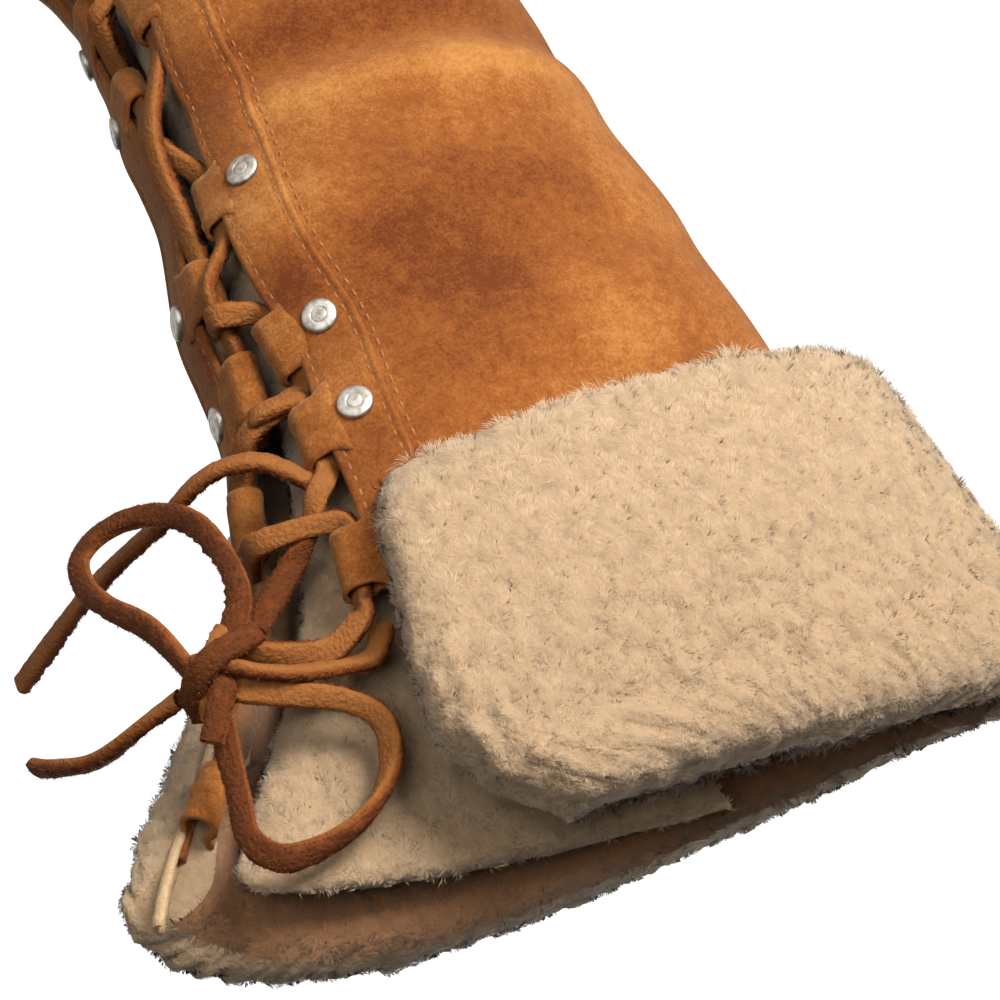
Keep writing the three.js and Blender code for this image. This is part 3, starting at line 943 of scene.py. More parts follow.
@dataclass
class Fleece:
    """Curly wool: strands leaning together in tufts, each a ribbon of two triangles."""

    length: float = 2.1
    width: float = 0.2
    tuft: float = 2.8
    density: float = 4.4
    lean: float = 0.5
    lift: float = 0.28
    splay: float = 0.55
    stray: float = 0.45
    valley_painted_shade: float = 0.42
    # Painted light and shade: the wool is lighter at the hem and darker towards the fold.
    hem_painted_light: float = 1.14
    fold_painted_shade: float = 0.2
    seed: int = 1
    # Roots darker than tips: painted shade deep in the pile.
    root: tuple = (0.33, 0.21, 0.115)
    tip: tuple = (0.46, 0.325, 0.195)

    def scatter(self, grid: Array, count: int, rng: np.random.Generator) -> tuple[Array, Array, Array]:
        """Random places over a grid, evenly by area.

        Args:
            grid: rows by columns by 3 points.
            count: how many.
            rng: the random source.

        Returns:
            Points, normals and places as parts of the grid's height and breadth.
        """
        rows, cols = grid.shape[:2]
        area = cell_areas(grid).ravel()
        cell = rng.choice(len(area), count, p=area / area.sum())
        i, j = np.divmod(cell, cols - 1)
        f, g = rng.random(count)[:, None], rng.random(count)[:, None]
        point = mix(mix(grid[i, j], grid[i, j + 1], g), mix(grid[i + 1, j], grid[i + 1, j + 1], g), f)
        place = np.stack([(i + f[:, 0]) / (rows - 1), (j + g[:, 0]) / (cols - 1)], -1)
        return point, grid_normals(grid)[i, j], place

    def hearts(self, root: Array, heart: Array) -> Array:
        """The number of the tuft that each strand belongs to.

        Args:
            root: the strands' roots.
            heart: the tufts' middles.

        Returns:
            Tuft numbers, one a strand.
        """
        tree = kdtree.KDTree(len(heart))
        for k, p in enumerate(heart):
            tree.insert(p, k)
        tree.balance()
        return np.fromiter((tree.find(p)[1] for p in root), int, len(root))

    def grow(self, name: str, grid: Array, flow: Spread, scale: Spread) -> None:
        """Grows the wool on a grid.

        Args:
            name: the piece's name.
            grid: rows by columns by 3 points, millimetres.
            flow: the way the tufts lie, as vectors, from tuft places.
            scale: the wool's length as a part of full, from places.
        """
        rng = np.random.default_rng(self.seed)
        area = float(cell_areas(grid).sum())
        count, tufts = int(area * self.density), max(8, int(area / self.tuft**2))
        root, normal, place = self.scatter(grid, count, rng)
        heart, heart_normal, spot = self.scatter(grid, tufts, rng)
        own = self.hearts(root, heart)
        lie = flow(spot) + rng.normal(0, self.stray, (tufts, 3))
        lie = unit(lie - heart_normal * (lie * heart_normal).sum(-1, keepdims=True))
        spread = (root - heart[own]) / (0.6 * self.tuft)
        spread -= normal * (spread * normal).sum(-1, keepdims=True)
        far = np.clip(np.linalg.norm(spread, axis=-1, keepdims=True), 0, 1.3)
        spin = (rng.choice([-1.0, 1.0], tufts) * rng.uniform(0.2, 0.8, tufts))[own][:, None]
        dome = unit(normal + spread * 0.5 * self.splay)
        way = normal * self.lift + spread * self.splay + np.cross(normal, spread) * spin
        way = unit(way + lie[own] * self.lean)
        grown = self.length * scale(spot) * rng.uniform(0.75, 1.2, tufts)
        size = grown[own][:, None] * (1 - 0.28 * far**2) * rng.uniform(0.75, 1.15, (count, 1))
        tip = root + way * size + rng.normal(0, 0.12, (count, 3))
        middle = root + (normal * 0.3 + way * 0.7) * size * 0.55 + rng.normal(0, 0.08, (count, 3))
        facing = dome + rng.normal(0, 0.12, (count, 3))
        across = unit(np.cross(facing, tip - root)) * self.width / 2
        points = np.stack([root, middle - across, middle + across, tip], 1).reshape(-1, 3)
        first = 4 * np.arange(count)[:, None]
        faces = np.concatenate([first + np.array(k) for k in ((0, 1, 2), (1, 3, 2))])
        piece = add_mesh(name, points, faces, FLEECE)
        piece.visible_shadow = False
        store(piece, "dome", Stored.VECTOR, np.repeat(dome, 4, axis=0))
        # Strands near a tuft's edge and in the valleys between locks are darker: painted shade, since the
        # strands cast no shadows.
        tone = rng.normal(1, 0.035, tufts)[own] * rng.normal(1, 0.03, count) * (1.03 - 0.16 * far[:, 0] ** 2)
        valley = np.exp(-((puffs(root) / 0.3) ** 2)) * (0.15 + 0.85 * smoothstep(place[:, 0], 0.2, 0.7))
        # Lighter at the hem and darker towards the fold: painted light and shade.
        tone *= (1.0 - self.valley_painted_shade * valley) * (self.hem_painted_light - self.fold_painted_shade * place[:, 0])
        # Darker at the root than at the tip: painted shade in the pile.
        shade = np.array([0.0, 0.6, 0.6, 1.0])[None, :, None]
        colours = mix(np.array(self.root), np.array(self.tip), shade) * tone[:, None, None]
        rgba = np.concatenate([np.clip(colours, 0, 1), np.ones((count, 4, 1))], -1)
        store(piece, "tint", Stored.COLOUR, rgba)


def spline(points: tuple, step: float) -> Array:
    """A smooth line through points, even in knot spacing by the root of distance.

    Args:
        points: the route's points.
        step: about how far apart the line's points are.

    Returns:
        The line's points.
    """
    p = np.asarray(points, dtype=float)
    p = np.concatenate([[2 * p[0] - p[1]], p, [2 * p[-1] - p[-2]]])
    line = []
    for k in range(1, len(p) - 2):
        a, b, c, d = p[k - 1 : k + 3]
        gaps = [max(1e-6, np.linalg.norm(y - x)) ** 0.5 for x, y in ((a, b), (b, c), (c, d))]
        s0, s1, s2 = gaps
        t1 = ((b - a) / s0 - (c - a) / (s0 + s1) + (c - b) / s1) * s1
        t2 = ((c - b) / s1 - (d - b) / (s1 + s2) + (d - c) / s2) * s1
        n = max(2, int(np.linalg.norm(c - b) / step))
        f = (np.arange(n) / n)[:, None]
        curve = (2 * f**3 - 3 * f**2 + 1) * b + (f**3 - 2 * f**2 + f) * t1
        line.append(curve + (3 * f**2 - 2 * f**3) * c + (f**3 - f**2) * t2)
    return np.concatenate([*line, p[-2:-1]])


@dataclass
class Lace:
    """The leather thong: strands through the tabs, knot, bow and loose ends."""

    width: float = 5.1
    thick: float = 3.0
    step: float = 1.1
    fibres: int = 22
    belly: tuple = (6.0, -4.0, 0.0)
    slack_crossing: int = 5
    slack: float = 1.7
    start: tuple = (5.0, 0.0, -2.0)
    loop_upper: tuple = (
        (29.5, -16.5, 305.5), (32, -11, 288.5), (36.5, -5, 276.5), (37, 0.5, 267.5), (35, 2.5, 260.5),
        (31, 0.5, 258), (25, -4, 258.5), (19, -10.5, 263.5), (15.5, -16.5, 271.5), (14.5, -20.5, 284),
        (17, -23, 295), (26, -20.5, 306),
    )
    loop_lower: tuple = (
        (28, -22, 311.5), (14, -21.5, 318), (6, -20.5, 322), (1, -19.5, 327), (1, -18, 333),
        (5.5, -17, 340), (13.5, -17, 345.5), (23, -16, 347.5), (31, -16, 346.5), (34.5, -15.5, 340.5),
        (33, -16, 332.5), (30, -19.5, 316),
    )
    end_long: tuple = (
        (-10.1, -19.6, 272.2), (-1.5, -21.5, 265), (6, -18.5, 262), (11.5, -12.5, 261), (16, -2, 260),
        (21.5, 12.5, 256.5), (28, 29, 253.5), (34.5, 48, 251.5), (41.5, 64.5, 251),
    )
    end_left: tuple = (
        (35, -17, 308), (40.5, -11.5, 307.5), (50, 0.5, 306), (55.5, 10.5, 300), (57, 20.5, 293.5),
    )
    knot_band: tuple = (
        (18, -26, 304.5), (22.5, -28, 306), (26.5, -28.5, 307), (30, -27, 308), (32.5, -23.5, 309),
        (33, -18.5, 310.5), (31, -13.5, 311.5),
    )
    knot_second: tuple = (
        (-8, -21.5, 309.5), (-3.5, -20.5, 315), (4.5, -21.5, 315), (13.5, -24, 314.5), (21, -25.5, 312),
        (25.5, -25.5, 309), (28.5, -23.5, 307), (28.5, -19.5, 303),
    )
    knot_heart: tuple = ((22, -22, 300), (27, -23, 305), (30, -21.5, 310), (31, -18, 315))
    knot_stub: tuple = ((27.5, -22.5, 307.5), (28, -24, 312), (31, -23.5, 316.5), (34.5, -21.5, 321.5))
    tail_tab: tuple = ((-4, -26, 308), (4.5, -22.5, 311.5), (12, -21, 309), (21, -22, 304.5))
    tail_slot: tuple = ((-9, -22, 276.5), (-5, -17.5, 282.5), (4, -14.5, 289.5), (14, -15, 298))

    def tab_point(self, side: Side, z: float, along: float) -> Array:
        """The middle of a tab's tunnel, moved along its axis."""
        point, normal, up, off = FORM.edge_frame(side, z)
        return point + off * TAB_OFF - normal * TAB_SINK + up * along

    def strand(self, first: Side, count: int, tail: tuple) -> Array:
        """One strand's route from the bottom of the throat through its tabs.

        Args:
            first: the side of its first tab.
            count: how many tabs it passes.
            tail: points after its last tab.

        Returns:
            The route's points.
        """
        reach = TAB_LENGTH / 2 + 2.5
        other = Side.LEFT if first is Side.RIGHT else Side.RIGHT
        low = sum(self.tab_point(side, TAB_Z[side][0], -reach) for side in Side) / 2
        route = [low + np.array(self.start)]
        for i in range(count):
            side = other if i % 2 else first
            z = TAB_Z[side][i]
            start = self.tab_point(side, z, -reach)
            if i:
                slack = self.slack if i == self.slack_crossing else 1.0
                route.append((route[-1] + start) / 2 + np.array(self.belly) * slack)
            route += [start, self.tab_point(side, z, 0), self.tab_point(side, z, reach)]
        return np.array(route + [np.array(p, dtype=float) for p in tail])

    def section(self) -> tuple[Array, Array]:
        """The thong's cut section, and 1 where it is smooth, 0 where it is rough.

        Returns:
            Points across and out, and the faces' numbers.
        """
        angle = np.radians(np.arange(0, 360, 22.5))
        cos, sin = np.cos(angle), np.sin(angle)
        wide, deep = (np.sign(v) * np.abs(v) ** 0.62 for v in (cos, sin))
        points = np.stack([wide * self.width / 2, deep * self.thick / 2], -1)
        points[:, 1] -= 0.25 * (sin < 0) * (1 - cos**2)
        return points, smoothstep(sin, -0.25, 0.2)

    def sweep(
        self, name: str, route: Array, face_out: tuple, turns: tuple, seed: int, steady: bool = False
    ) -> tuple[Piece, Array]:
        """The thong along a route.

        Args:
            name: the piece's name.
            route: the route's points.
            face_out: the way the smooth face looks at the start.
            turns: degrees that the thong turns about its line, spread evenly along it.
            seed: for its small unevenness.
            steady: whether the smooth face keeps looking the same way all along.

        Returns:
            The object and its line.
        """
        rng = np.random.default_rng(seed)
        line = spline(route, self.step)
        along = unit(np.gradient(line, axis=0))
        count = len(line)
        out = np.zeros_like(line)
        before = np.array(face_out, dtype=float)
        for k in range(count):
            out[k] = unit(before - along[k] * np.dot(before, along[k]))
            before = before if steady else out[k]
        twist = np.radians(np.interp(np.linspace(0, 1, count), np.linspace(0, 1, len(turns)), turns))
        side = np.cross(along, out)
        out, side = (
            out * np.cos(twist)[:, None] + side * np.sin(twist)[:, None],
            side * np.cos(twist)[:, None] - out * np.sin(twist)[:, None],
        )
        shape, face = self.section()
        steps = np.cumsum(rng.normal(0, 0.02, count))
        wide = 1 + 0.06 * np.sin(np.arange(count) * 0.23 + seed) + (steps - steps.mean()) * 0.3
        rough = rng.normal(0, 0.1, (count, len(shape))) * (1.7 - 1.2 * face)
        rings = (
            line[:, None]
            + side[:, None] * (shape[None, :, :1] * wide[:, None, None] + rough[..., None])
            + out[:, None] * (shape[None, :, 1:] + 0.6 * rough[..., None])
        )
        cols = len(shape)
        closed = np.concatenate([rings, rings[:, :1]], 1)
        tube = grid_quads(count, cols + 1)
        points = closed.reshape(-1, 3)
        hub = np.array([line[0], line[-1]])
        numbers = np.arange(cols)
        base = len(points)
        near = np.stack([np.full(cols, base), numbers, numbers + 1, numbers + 1], -1)
        end = (count - 1) * (cols + 1)
        far = np.stack([np.full(cols, base + 1), end + numbers + 1, end + numbers, end + numbers], -1)
        faces = np.concatenate([tube, near, far])
        piece = add_mesh(name, np.concatenate([points, hub]), faces, THONG)
        faces_at = np.tile(np.concatenate([face, face[:1]]), count)
        store(piece, "face", Stored.NUMBER, np.concatenate([faces_at, [0.1, 0.1]]))
        self.fuzz(f"{name}_fuzz", closed, face, seed)
        return piece, line

    def fuzz(self, name: str, rings: Array, face: Array, seed: int) -> None:
        """Short fibres on the rough side.

        Args:
            name: the piece's name.
            rings: the thong's rings of points.
            face: where the section is smooth.
            seed: the random seed.
        """
        rng = np.random.default_rng(seed + 50)
        count = len(rings) * self.fibres
        rough = np.nonzero(face < 0.6)[0]
        i = rng.integers(0, len(rings) - 1, count)
        j = rough[rng.integers(0, len(rough), count)]
        root = mix(rings[i, j], rings[i + 1, j], rng.random((count, 1)))
        centre = rings[i, :-1].mean(1)
        way = unit(unit(root - centre) + rng.normal(0, 0.55, (count, 3)))
        tip = root + way * rng.uniform(0.3, 1.0, (count, 1))
        across = unit(np.cross(way, rng.normal(0, 1, (count, 3)))) * 0.07
        points = np.stack([root - across, root + across, tip], 1).reshape(-1, 3)
        piece = add_mesh(name, points, np.arange(3 * count).reshape(-1, 3), THONG)
        store(piece, "face", Stored.NUMBER, np.repeat(rng.uniform(0.1, 0.6, count), 3))

    def free_cord(self, name: str, route: tuple, face_out: tuple, turns: tuple, seed: int) -> None:
        """A free length of the thong, which hides its imported node.

        Args:
            name: the piece's name.
            route: its points, from where it leaves the knot or the tab.
            face_out: the way its smooth face looks at the start.
            turns: its turning along the line.
            seed: for its unevenness.
        """
        piece, line = self.sweep(name, np.array(route, dtype=float), face_out, turns, seed)
        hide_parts(LACE_NODES[name])

    def tie(self) -> None:
        """The knot: a band over the two strands that come to it, and the short stub end."""
        band, _ = self.sweep("lace_knot_band", np.array(self.knot_band), (-0.3, 0.8, -0.5), (30.0, 0.0), 31)
        self.sweep("lace_knot_second", np.array(self.knot_second), (0, -0.6, -0.8), (0.0, 15.0), 32)
        self.sweep("lace_knot_heart", np.array(self.knot_heart), (0.3, -0.8, 0.5), (0.0,), 34)
        stub, _ = self.sweep("lace_stub", np.array(self.knot_stub), (0.3, 0.8, 0.3), (0.0, 30.0), 33)
        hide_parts("lace_knot")
        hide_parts("lace_end_stub")

    def build(self) -> None:
        """Makes the free ends and bow first, then the knot and the strands."""
        self.free_cord("bow_upper", self.loop_upper, (-1, -0.5, 0), (20.0, 60.0, 120.0, 60.0), 11)
        self.free_cord("bow_lower", self.loop_lower, (0, -1, 0.3), (0.0, 40.0, 140.0, 150.0), 12)
        self.free_cord("loose_end_long", self.end_long, (0, -1, 0), (30.0, 20.0, -10.0), 13)
        self.free_cord("loose_end_left", self.end_left, (0, -1, 0), (40.0, 120.0), 14)
        self.tie()
        route = self.strand(Side.LEFT, 6, self.tail_tab)
        one, _ = self.sweep("lace_strand_one", route, (1, -0.4, 0.2), (0.0,), 15, steady=True)
        route = self.strand(Side.RIGHT, 5, self.tail_slot)
        self.sweep("lace_strand_two", route, (1, 0, 0), (0.0,) * 15 + (180.0, 180.0), 16)
        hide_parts("lace_crossings")


@dataclass
class Upper:
    """The suede foot and leg, its lining and the stitched facings beside the throat."""

    hide: float = 1.8
    facing: float = 13.5
    overhang: float = 1.8
    facing_thick: float = 1.3
    facing_top: dict = field(default_factory=lambda: {Side.RIGHT: 300.0, Side.LEFT: 334.0})
    around: int = 230
    foot_rows: int = 8
    top_row: float = 20.3
    leg_rows: int = 17
    shaft_start: int = 14
    stitch: float = 2.0
    stitch_step: float = 3.3
    stitch_size: tuple = (0.3, 0.26)

    def rows(self) -> Array:
        """The rows of the suede's mesh, closer together up the leg.

        Returns:
            Row positions.
        """
        foot = np.linspace(0, self.shaft_start, self.shaft_start * self.foot_rows)
        leg_count = int((self.top_row - self.shaft_start) * self.leg_rows)
        leg = np.linspace(self.shaft_start, self.top_row, leg_count)
        return np.concatenate([foot, leg[1:]])

    def angles(self, t: Array) -> Array:
        """Angles from the throat's right edge round the back to its left edge.

        Args:
            t: row positions.

        Returns:
            Rows of angles.
        """
        z = FORM.value("top_z", t)
        open_ = z > THROAT[0].z
        right = np.where(open_, FORM.throat(Side.RIGHT, z), 0)
        left = np.where(open_, FORM.throat(Side.LEFT, z), 0) + 360
        part = np.linspace(0, 1, self.around)
        return right[:, None] + (left - right)[:, None] * part

    def sheet(self, out: float, edge_out: float) -> tuple[Array, Array, Array]:
        """A grid round the upper whose two throat edges turn in.

        Args:
            out: distance out of the hide.
            edge_out: the same for the turned-in edge.

        Returns:
            Points, row positions and angles.
        """
        t = self.rows()
        deg = self.angles(t)
        deg = np.concatenate([deg[:, :1], deg, deg[:, -1:]], 1)
        depth = np.full(deg.shape, out)
        depth[np.ix_(FORM.value("top_z", t) > THROAT[0].z, [0, -1])] = edge_out
        row = FORM.dipped_row(t[:, None], deg)
        grid = FORM.point(row, deg, depth)
        floor = Sole().top(grid[..., 0]) + 0.3
        grid[..., 2] = np.maximum(grid[..., 2], floor)
        return grid, row, deg

    def build(self) -> None:
        """Makes the suede, the lining and the facings."""
        grid, row, deg = self.sheet(0.0, -self.hide)
        tip = np.broadcast_to(grid[0].mean(0), grid[:1].shape)
        grid = np.concatenate([tip, grid])
        row, deg = (np.concatenate([v[:1], v]) for v in (row, deg))
        suede = add_sheet("upper_suede", grid, SUEDE)
        # The stored layer is the suede's brushing with its painted highlight and painted shade.
        store(suede, "nap_and_painted_light", Stored.NUMBER, nap_and_painted_light_at(FORM.value("top_z", row), deg))
        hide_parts("upper")
        inner, _, _ = self.sheet(-FORM.wall + 1.5, -self.hide)
        inner = inner[::2, [0, *range(1, inner.shape[1] - 1, 2), -1]]
        bumps = cloud(inner, 4.0, 3)
        inner[:, 1:-1] += (grid_normals(inner) * bumps[..., None] * 0.7)[:, 1:-1]
        add_sheet("upper_lining", inner, FELT_PAINTED_SHADE, flip=True)
        for side in Side:
            self.make_facing(side)

    def strip(self, side: Side, heights: Array, distances: Array, outs: Array) -> Array:
        """A grid along a throat edge.

        Args:
            side: which edge.
            heights: the rows' heights.
            distances: the columns' distances back from the edge.
            outs: the columns' heights above the hide.

        Returns:
            The grid's points.
        """
        lines = []
        for z in heights:
            deg = FORM.back_from_edge(side, z, distances)
            t = FORM.row_at(z)
            lines.append(FORM.point(t, deg) + FORM.normal(t, deg) * np.asarray(outs)[:, None])
        return np.array(lines)

    def make_facing(self, side: Side) -> None:
        """The facing strip of one side with its lapped seam and stitches.

        Args:
            side: which edge.
        """
        heights = np.arange(99, self.facing_top[side], 2.0)
        back = [self.facing - 0.4, self.facing, self.facing + 0.2]
        across = np.concatenate([np.linspace(-self.overhang, self.facing - 1.2, 18), back])
        lift = np.full(len(across), self.facing_thick)
        lift[:2] = (0.7, 1.15)
        lift[-4:] = (1.5, 1.65, 1.2, 0.1)
        seams = (0.3, self.facing - 2.0)
        for row in seams:
            lift -= 0.45 * np.exp(-(((across - row) / 0.7) ** 2))
        front = self.strip(side, heights, across, lift)
        rear = self.strip(side, heights, across, np.full(len(across), -0.2))
        points, faces = plate(front, rear)
        if side is Side.LEFT:
            faces = faces[:, ::-1]
        piece = add_mesh(f"facing_{side.value}", points, faces, SUEDE)
        level = np.repeat(heights, len(across))
        deg = np.concatenate([FORM.back_from_edge(side, z, across) for z in heights])
        shade = nap_and_painted_light_at(level, deg) + 0.25 * np.tile(smoothstep(across, 9, 13.5) - 0.4, len(heights))
        store(piece, "nap_and_painted_light", Stored.NUMBER, np.tile(shade, 2))
        sunk = self.facing_thick - 0.35
        rows = ((seams[0], sunk), (seams[1], sunk), (self.facing + 1.6, 0.1))
        for number, (distance, rise) in enumerate(rows, 1):
            self.stitch_row(f"stitches_{side.value}_{number}", side, distance, rise)

    def stitch_row(self, name: str, side: Side, distance: float, rise: float) -> None:
        """A row of stitches along the throat.

        Args:
            name: the piece's name.
            side: which edge.
            distance: back from the edge.
            rise: above the hide.
        """
        heights = np.arange(102, self.facing_top[side] - 2, 1.0)
        line = self.strip(side, heights, np.array([distance]), np.array([rise]))[:, 0]
        gone = walked(line)
        starts = np.arange(1, gone[-1] - 3, self.stitch_step)
        ends = [between(s, gone, line) for s in (starts, starts + self.stitch)]
        z = np.interp(starts, gone, heights)
        deg = np.array([FORM.back_from_edge(side, h, np.array([distance]))[0] for h in z])
        stitches(name, *ends, FORM.normal(FORM.row_at(z), deg), self.stitch_size, THREAD)


def stitches(name: str, start: Array, end: Array, up: Array, size: tuple, finish: Finish) -> None:
    """A row of stitches as small pointed cushions.

    Args:
        name: the piece's name.
        start: where each begins.
        end: where each ends.
        up: the way each stands up.
        size: half a stitch's breadth, and its height.
        finish: its thread.
    """
    wide, high = size
    along = unit(end - start)
    side = np.cross(along, up) * wide
    parts = []
    for f, swell in ((0.12, 0.8), (0.5, 1.0), (0.88, 0.8)):
        middle = mix(start, end, f)
        parts += [middle - side * swell, middle + up * high * swell, middle + side * swell]
    points = np.stack([start - up * 0.15, *parts, end - up * 0.15], 1)
    shape = ((0, 1, 2), (0, 2, 3), (1, 4, 5), (1, 5, 2), (2, 5, 6), (2, 6, 3))
    shape += ((4, 7, 8), (4, 8, 5), (5, 8, 9), (5, 9, 6), (7, 10, 8), (8, 10, 9))
    first = 11 * np.arange(len(start))[:, None]
    faces = np.concatenate([first + np.array(f) for f in shape])
    add_mesh(name, points.reshape(-1, 3), faces, finish)


@dataclass
class Tabs:
    """The folded lace tabs and the rivets beside them."""

    outer: float = 3.9
    thick: float = 1.2
    rivet_step: float = 6.4
    rivet_radius: float = 3.9
    rivet_stand: float = 1.6
    # Parts of the radius, and heights in millimetres, from the cap's foot to its middle.
    rivet_profile: tuple = (
        (0.98, -0.5), (1, 0.1), (0.98, 0.4), (0.92, 0.66), (0.8, 0.84), (0.62, 0.95), (0.5, 1.0),
        (0.47, 0.97), (0.44, 0.78), (0.41, 0.97), (0.38, 1.02), (0.2, 1.06), (0.0, 1.07),
    )

    def fold_line(self) -> Array:
        """A tab's outer line, off the edge and out of the hide, from the facing over and under.

        Returns:
            Points as off and out.
        """
        angle = np.radians(np.linspace(82, -165, 22))
        loop = np.stack([TAB_OFF + self.outer * np.cos(angle), -TAB_SINK + self.outer * np.sin(angle)], -1)
        top = [[-2.6, 0.9], [-1.6, 1.36], [0.0, 1.42], [1.8, 1.4], [3.6, 1.34]]
        return np.concatenate([top, loop, [[-1.5, -4.6]]])

    def make_tab(self, side: Side, number: int, z: float) -> None:
        """One tab.

        Args:
            side: which edge.
            number: its place from the bottom.
            z: its height.
        """
        rng = np.random.default_rng(100 + number + 20 * (side is Side.LEFT))
        point, normal, up, off = FORM.edge_frame(side, z)
        line = self.fold_line()
        tangent = unit(np.gradient(line, axis=0))
        inward = np.stack([tangent[:, 1], -tangent[:, 0]], -1)
        along = np.linspace(-TAB_LENGTH / 2, TAB_LENGTH / 2, 12)
        uneven = rng.normal(0, 0.12, (len(along), 1, 1))
        slant = rng.normal(0, 0.10)
        grids = []
        for deep in (0.0, self.thick):
            flat = line[None] + inward[None] * deep + uneven * (1 - deep / self.thick)
            flare = 1 + 0.3 * (1 - smoothstep(flat[..., 0], -2.4, 2.2)) * (flat[..., 1] > 0)
            run = along[:, None] * flare + slant * np.maximum(flat[..., 0], 0)
            grids.append(point + flat[..., :1] * off + flat[..., 1:] * normal + run[..., None] * up)
        points, faces = plate(*grids)
        if side is Side.RIGHT:
            faces = faces[:, ::-1]
        piece = add_mesh(f"tab_{side.value}_{number}", points, faces, SUEDE)
        shade = 0.15 + np.tile(rng.normal(0, 0.1, len(points) // 2), 2)
        store(piece, "nap_and_painted_light", Stored.NUMBER, shade)
        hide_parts(f"lace_tab_{side.value}_{number}")

    def make_rivet(self, side: Side, number: int, z: float) -> None:
        """One rivet: a low domed cap with a plain ring round its hollow middle.

        Args:
            side: which edge.
            number: its place from the bottom.
            z: its height.
        """
        profile = np.array(self.rivet_profile) * np.array([self.rivet_radius, 1.0])
        deg = FORM.back_from_edge(side, z, np.array([self.rivet_step]))[0]
        t = FORM.row_at(z)
        normal = FORM.normal(t, deg)
        across = unit(np.cross(normal, np.array([0.0, 0, 1])))
        up = np.cross(normal, across)
        angle = np.radians(np.linspace(0, 360, 41))
        ring = np.cos(angle)[:, None] * across + np.sin(angle)[:, None] * up
        middle = FORM.point(t, deg) + normal * self.rivet_stand
        grid = middle + profile[:, None, :1] * ring + profile[:, None, 1:] * normal
        piece = add_sheet(f"rivet_cap_{side.value}_{number}", grid, PEWTER, flip=True, merge=0.01)
        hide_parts(f"rivet_{side.value}_{number}")

    def build(self) -> None:
        """Makes every tab and rivet."""
        for side in Side:
            for number, z in enumerate(TAB_Z[side], 1):
                self.make_tab(side, number, z)
                if number <= RIVETS:
                    self.make_rivet(side, number, z)


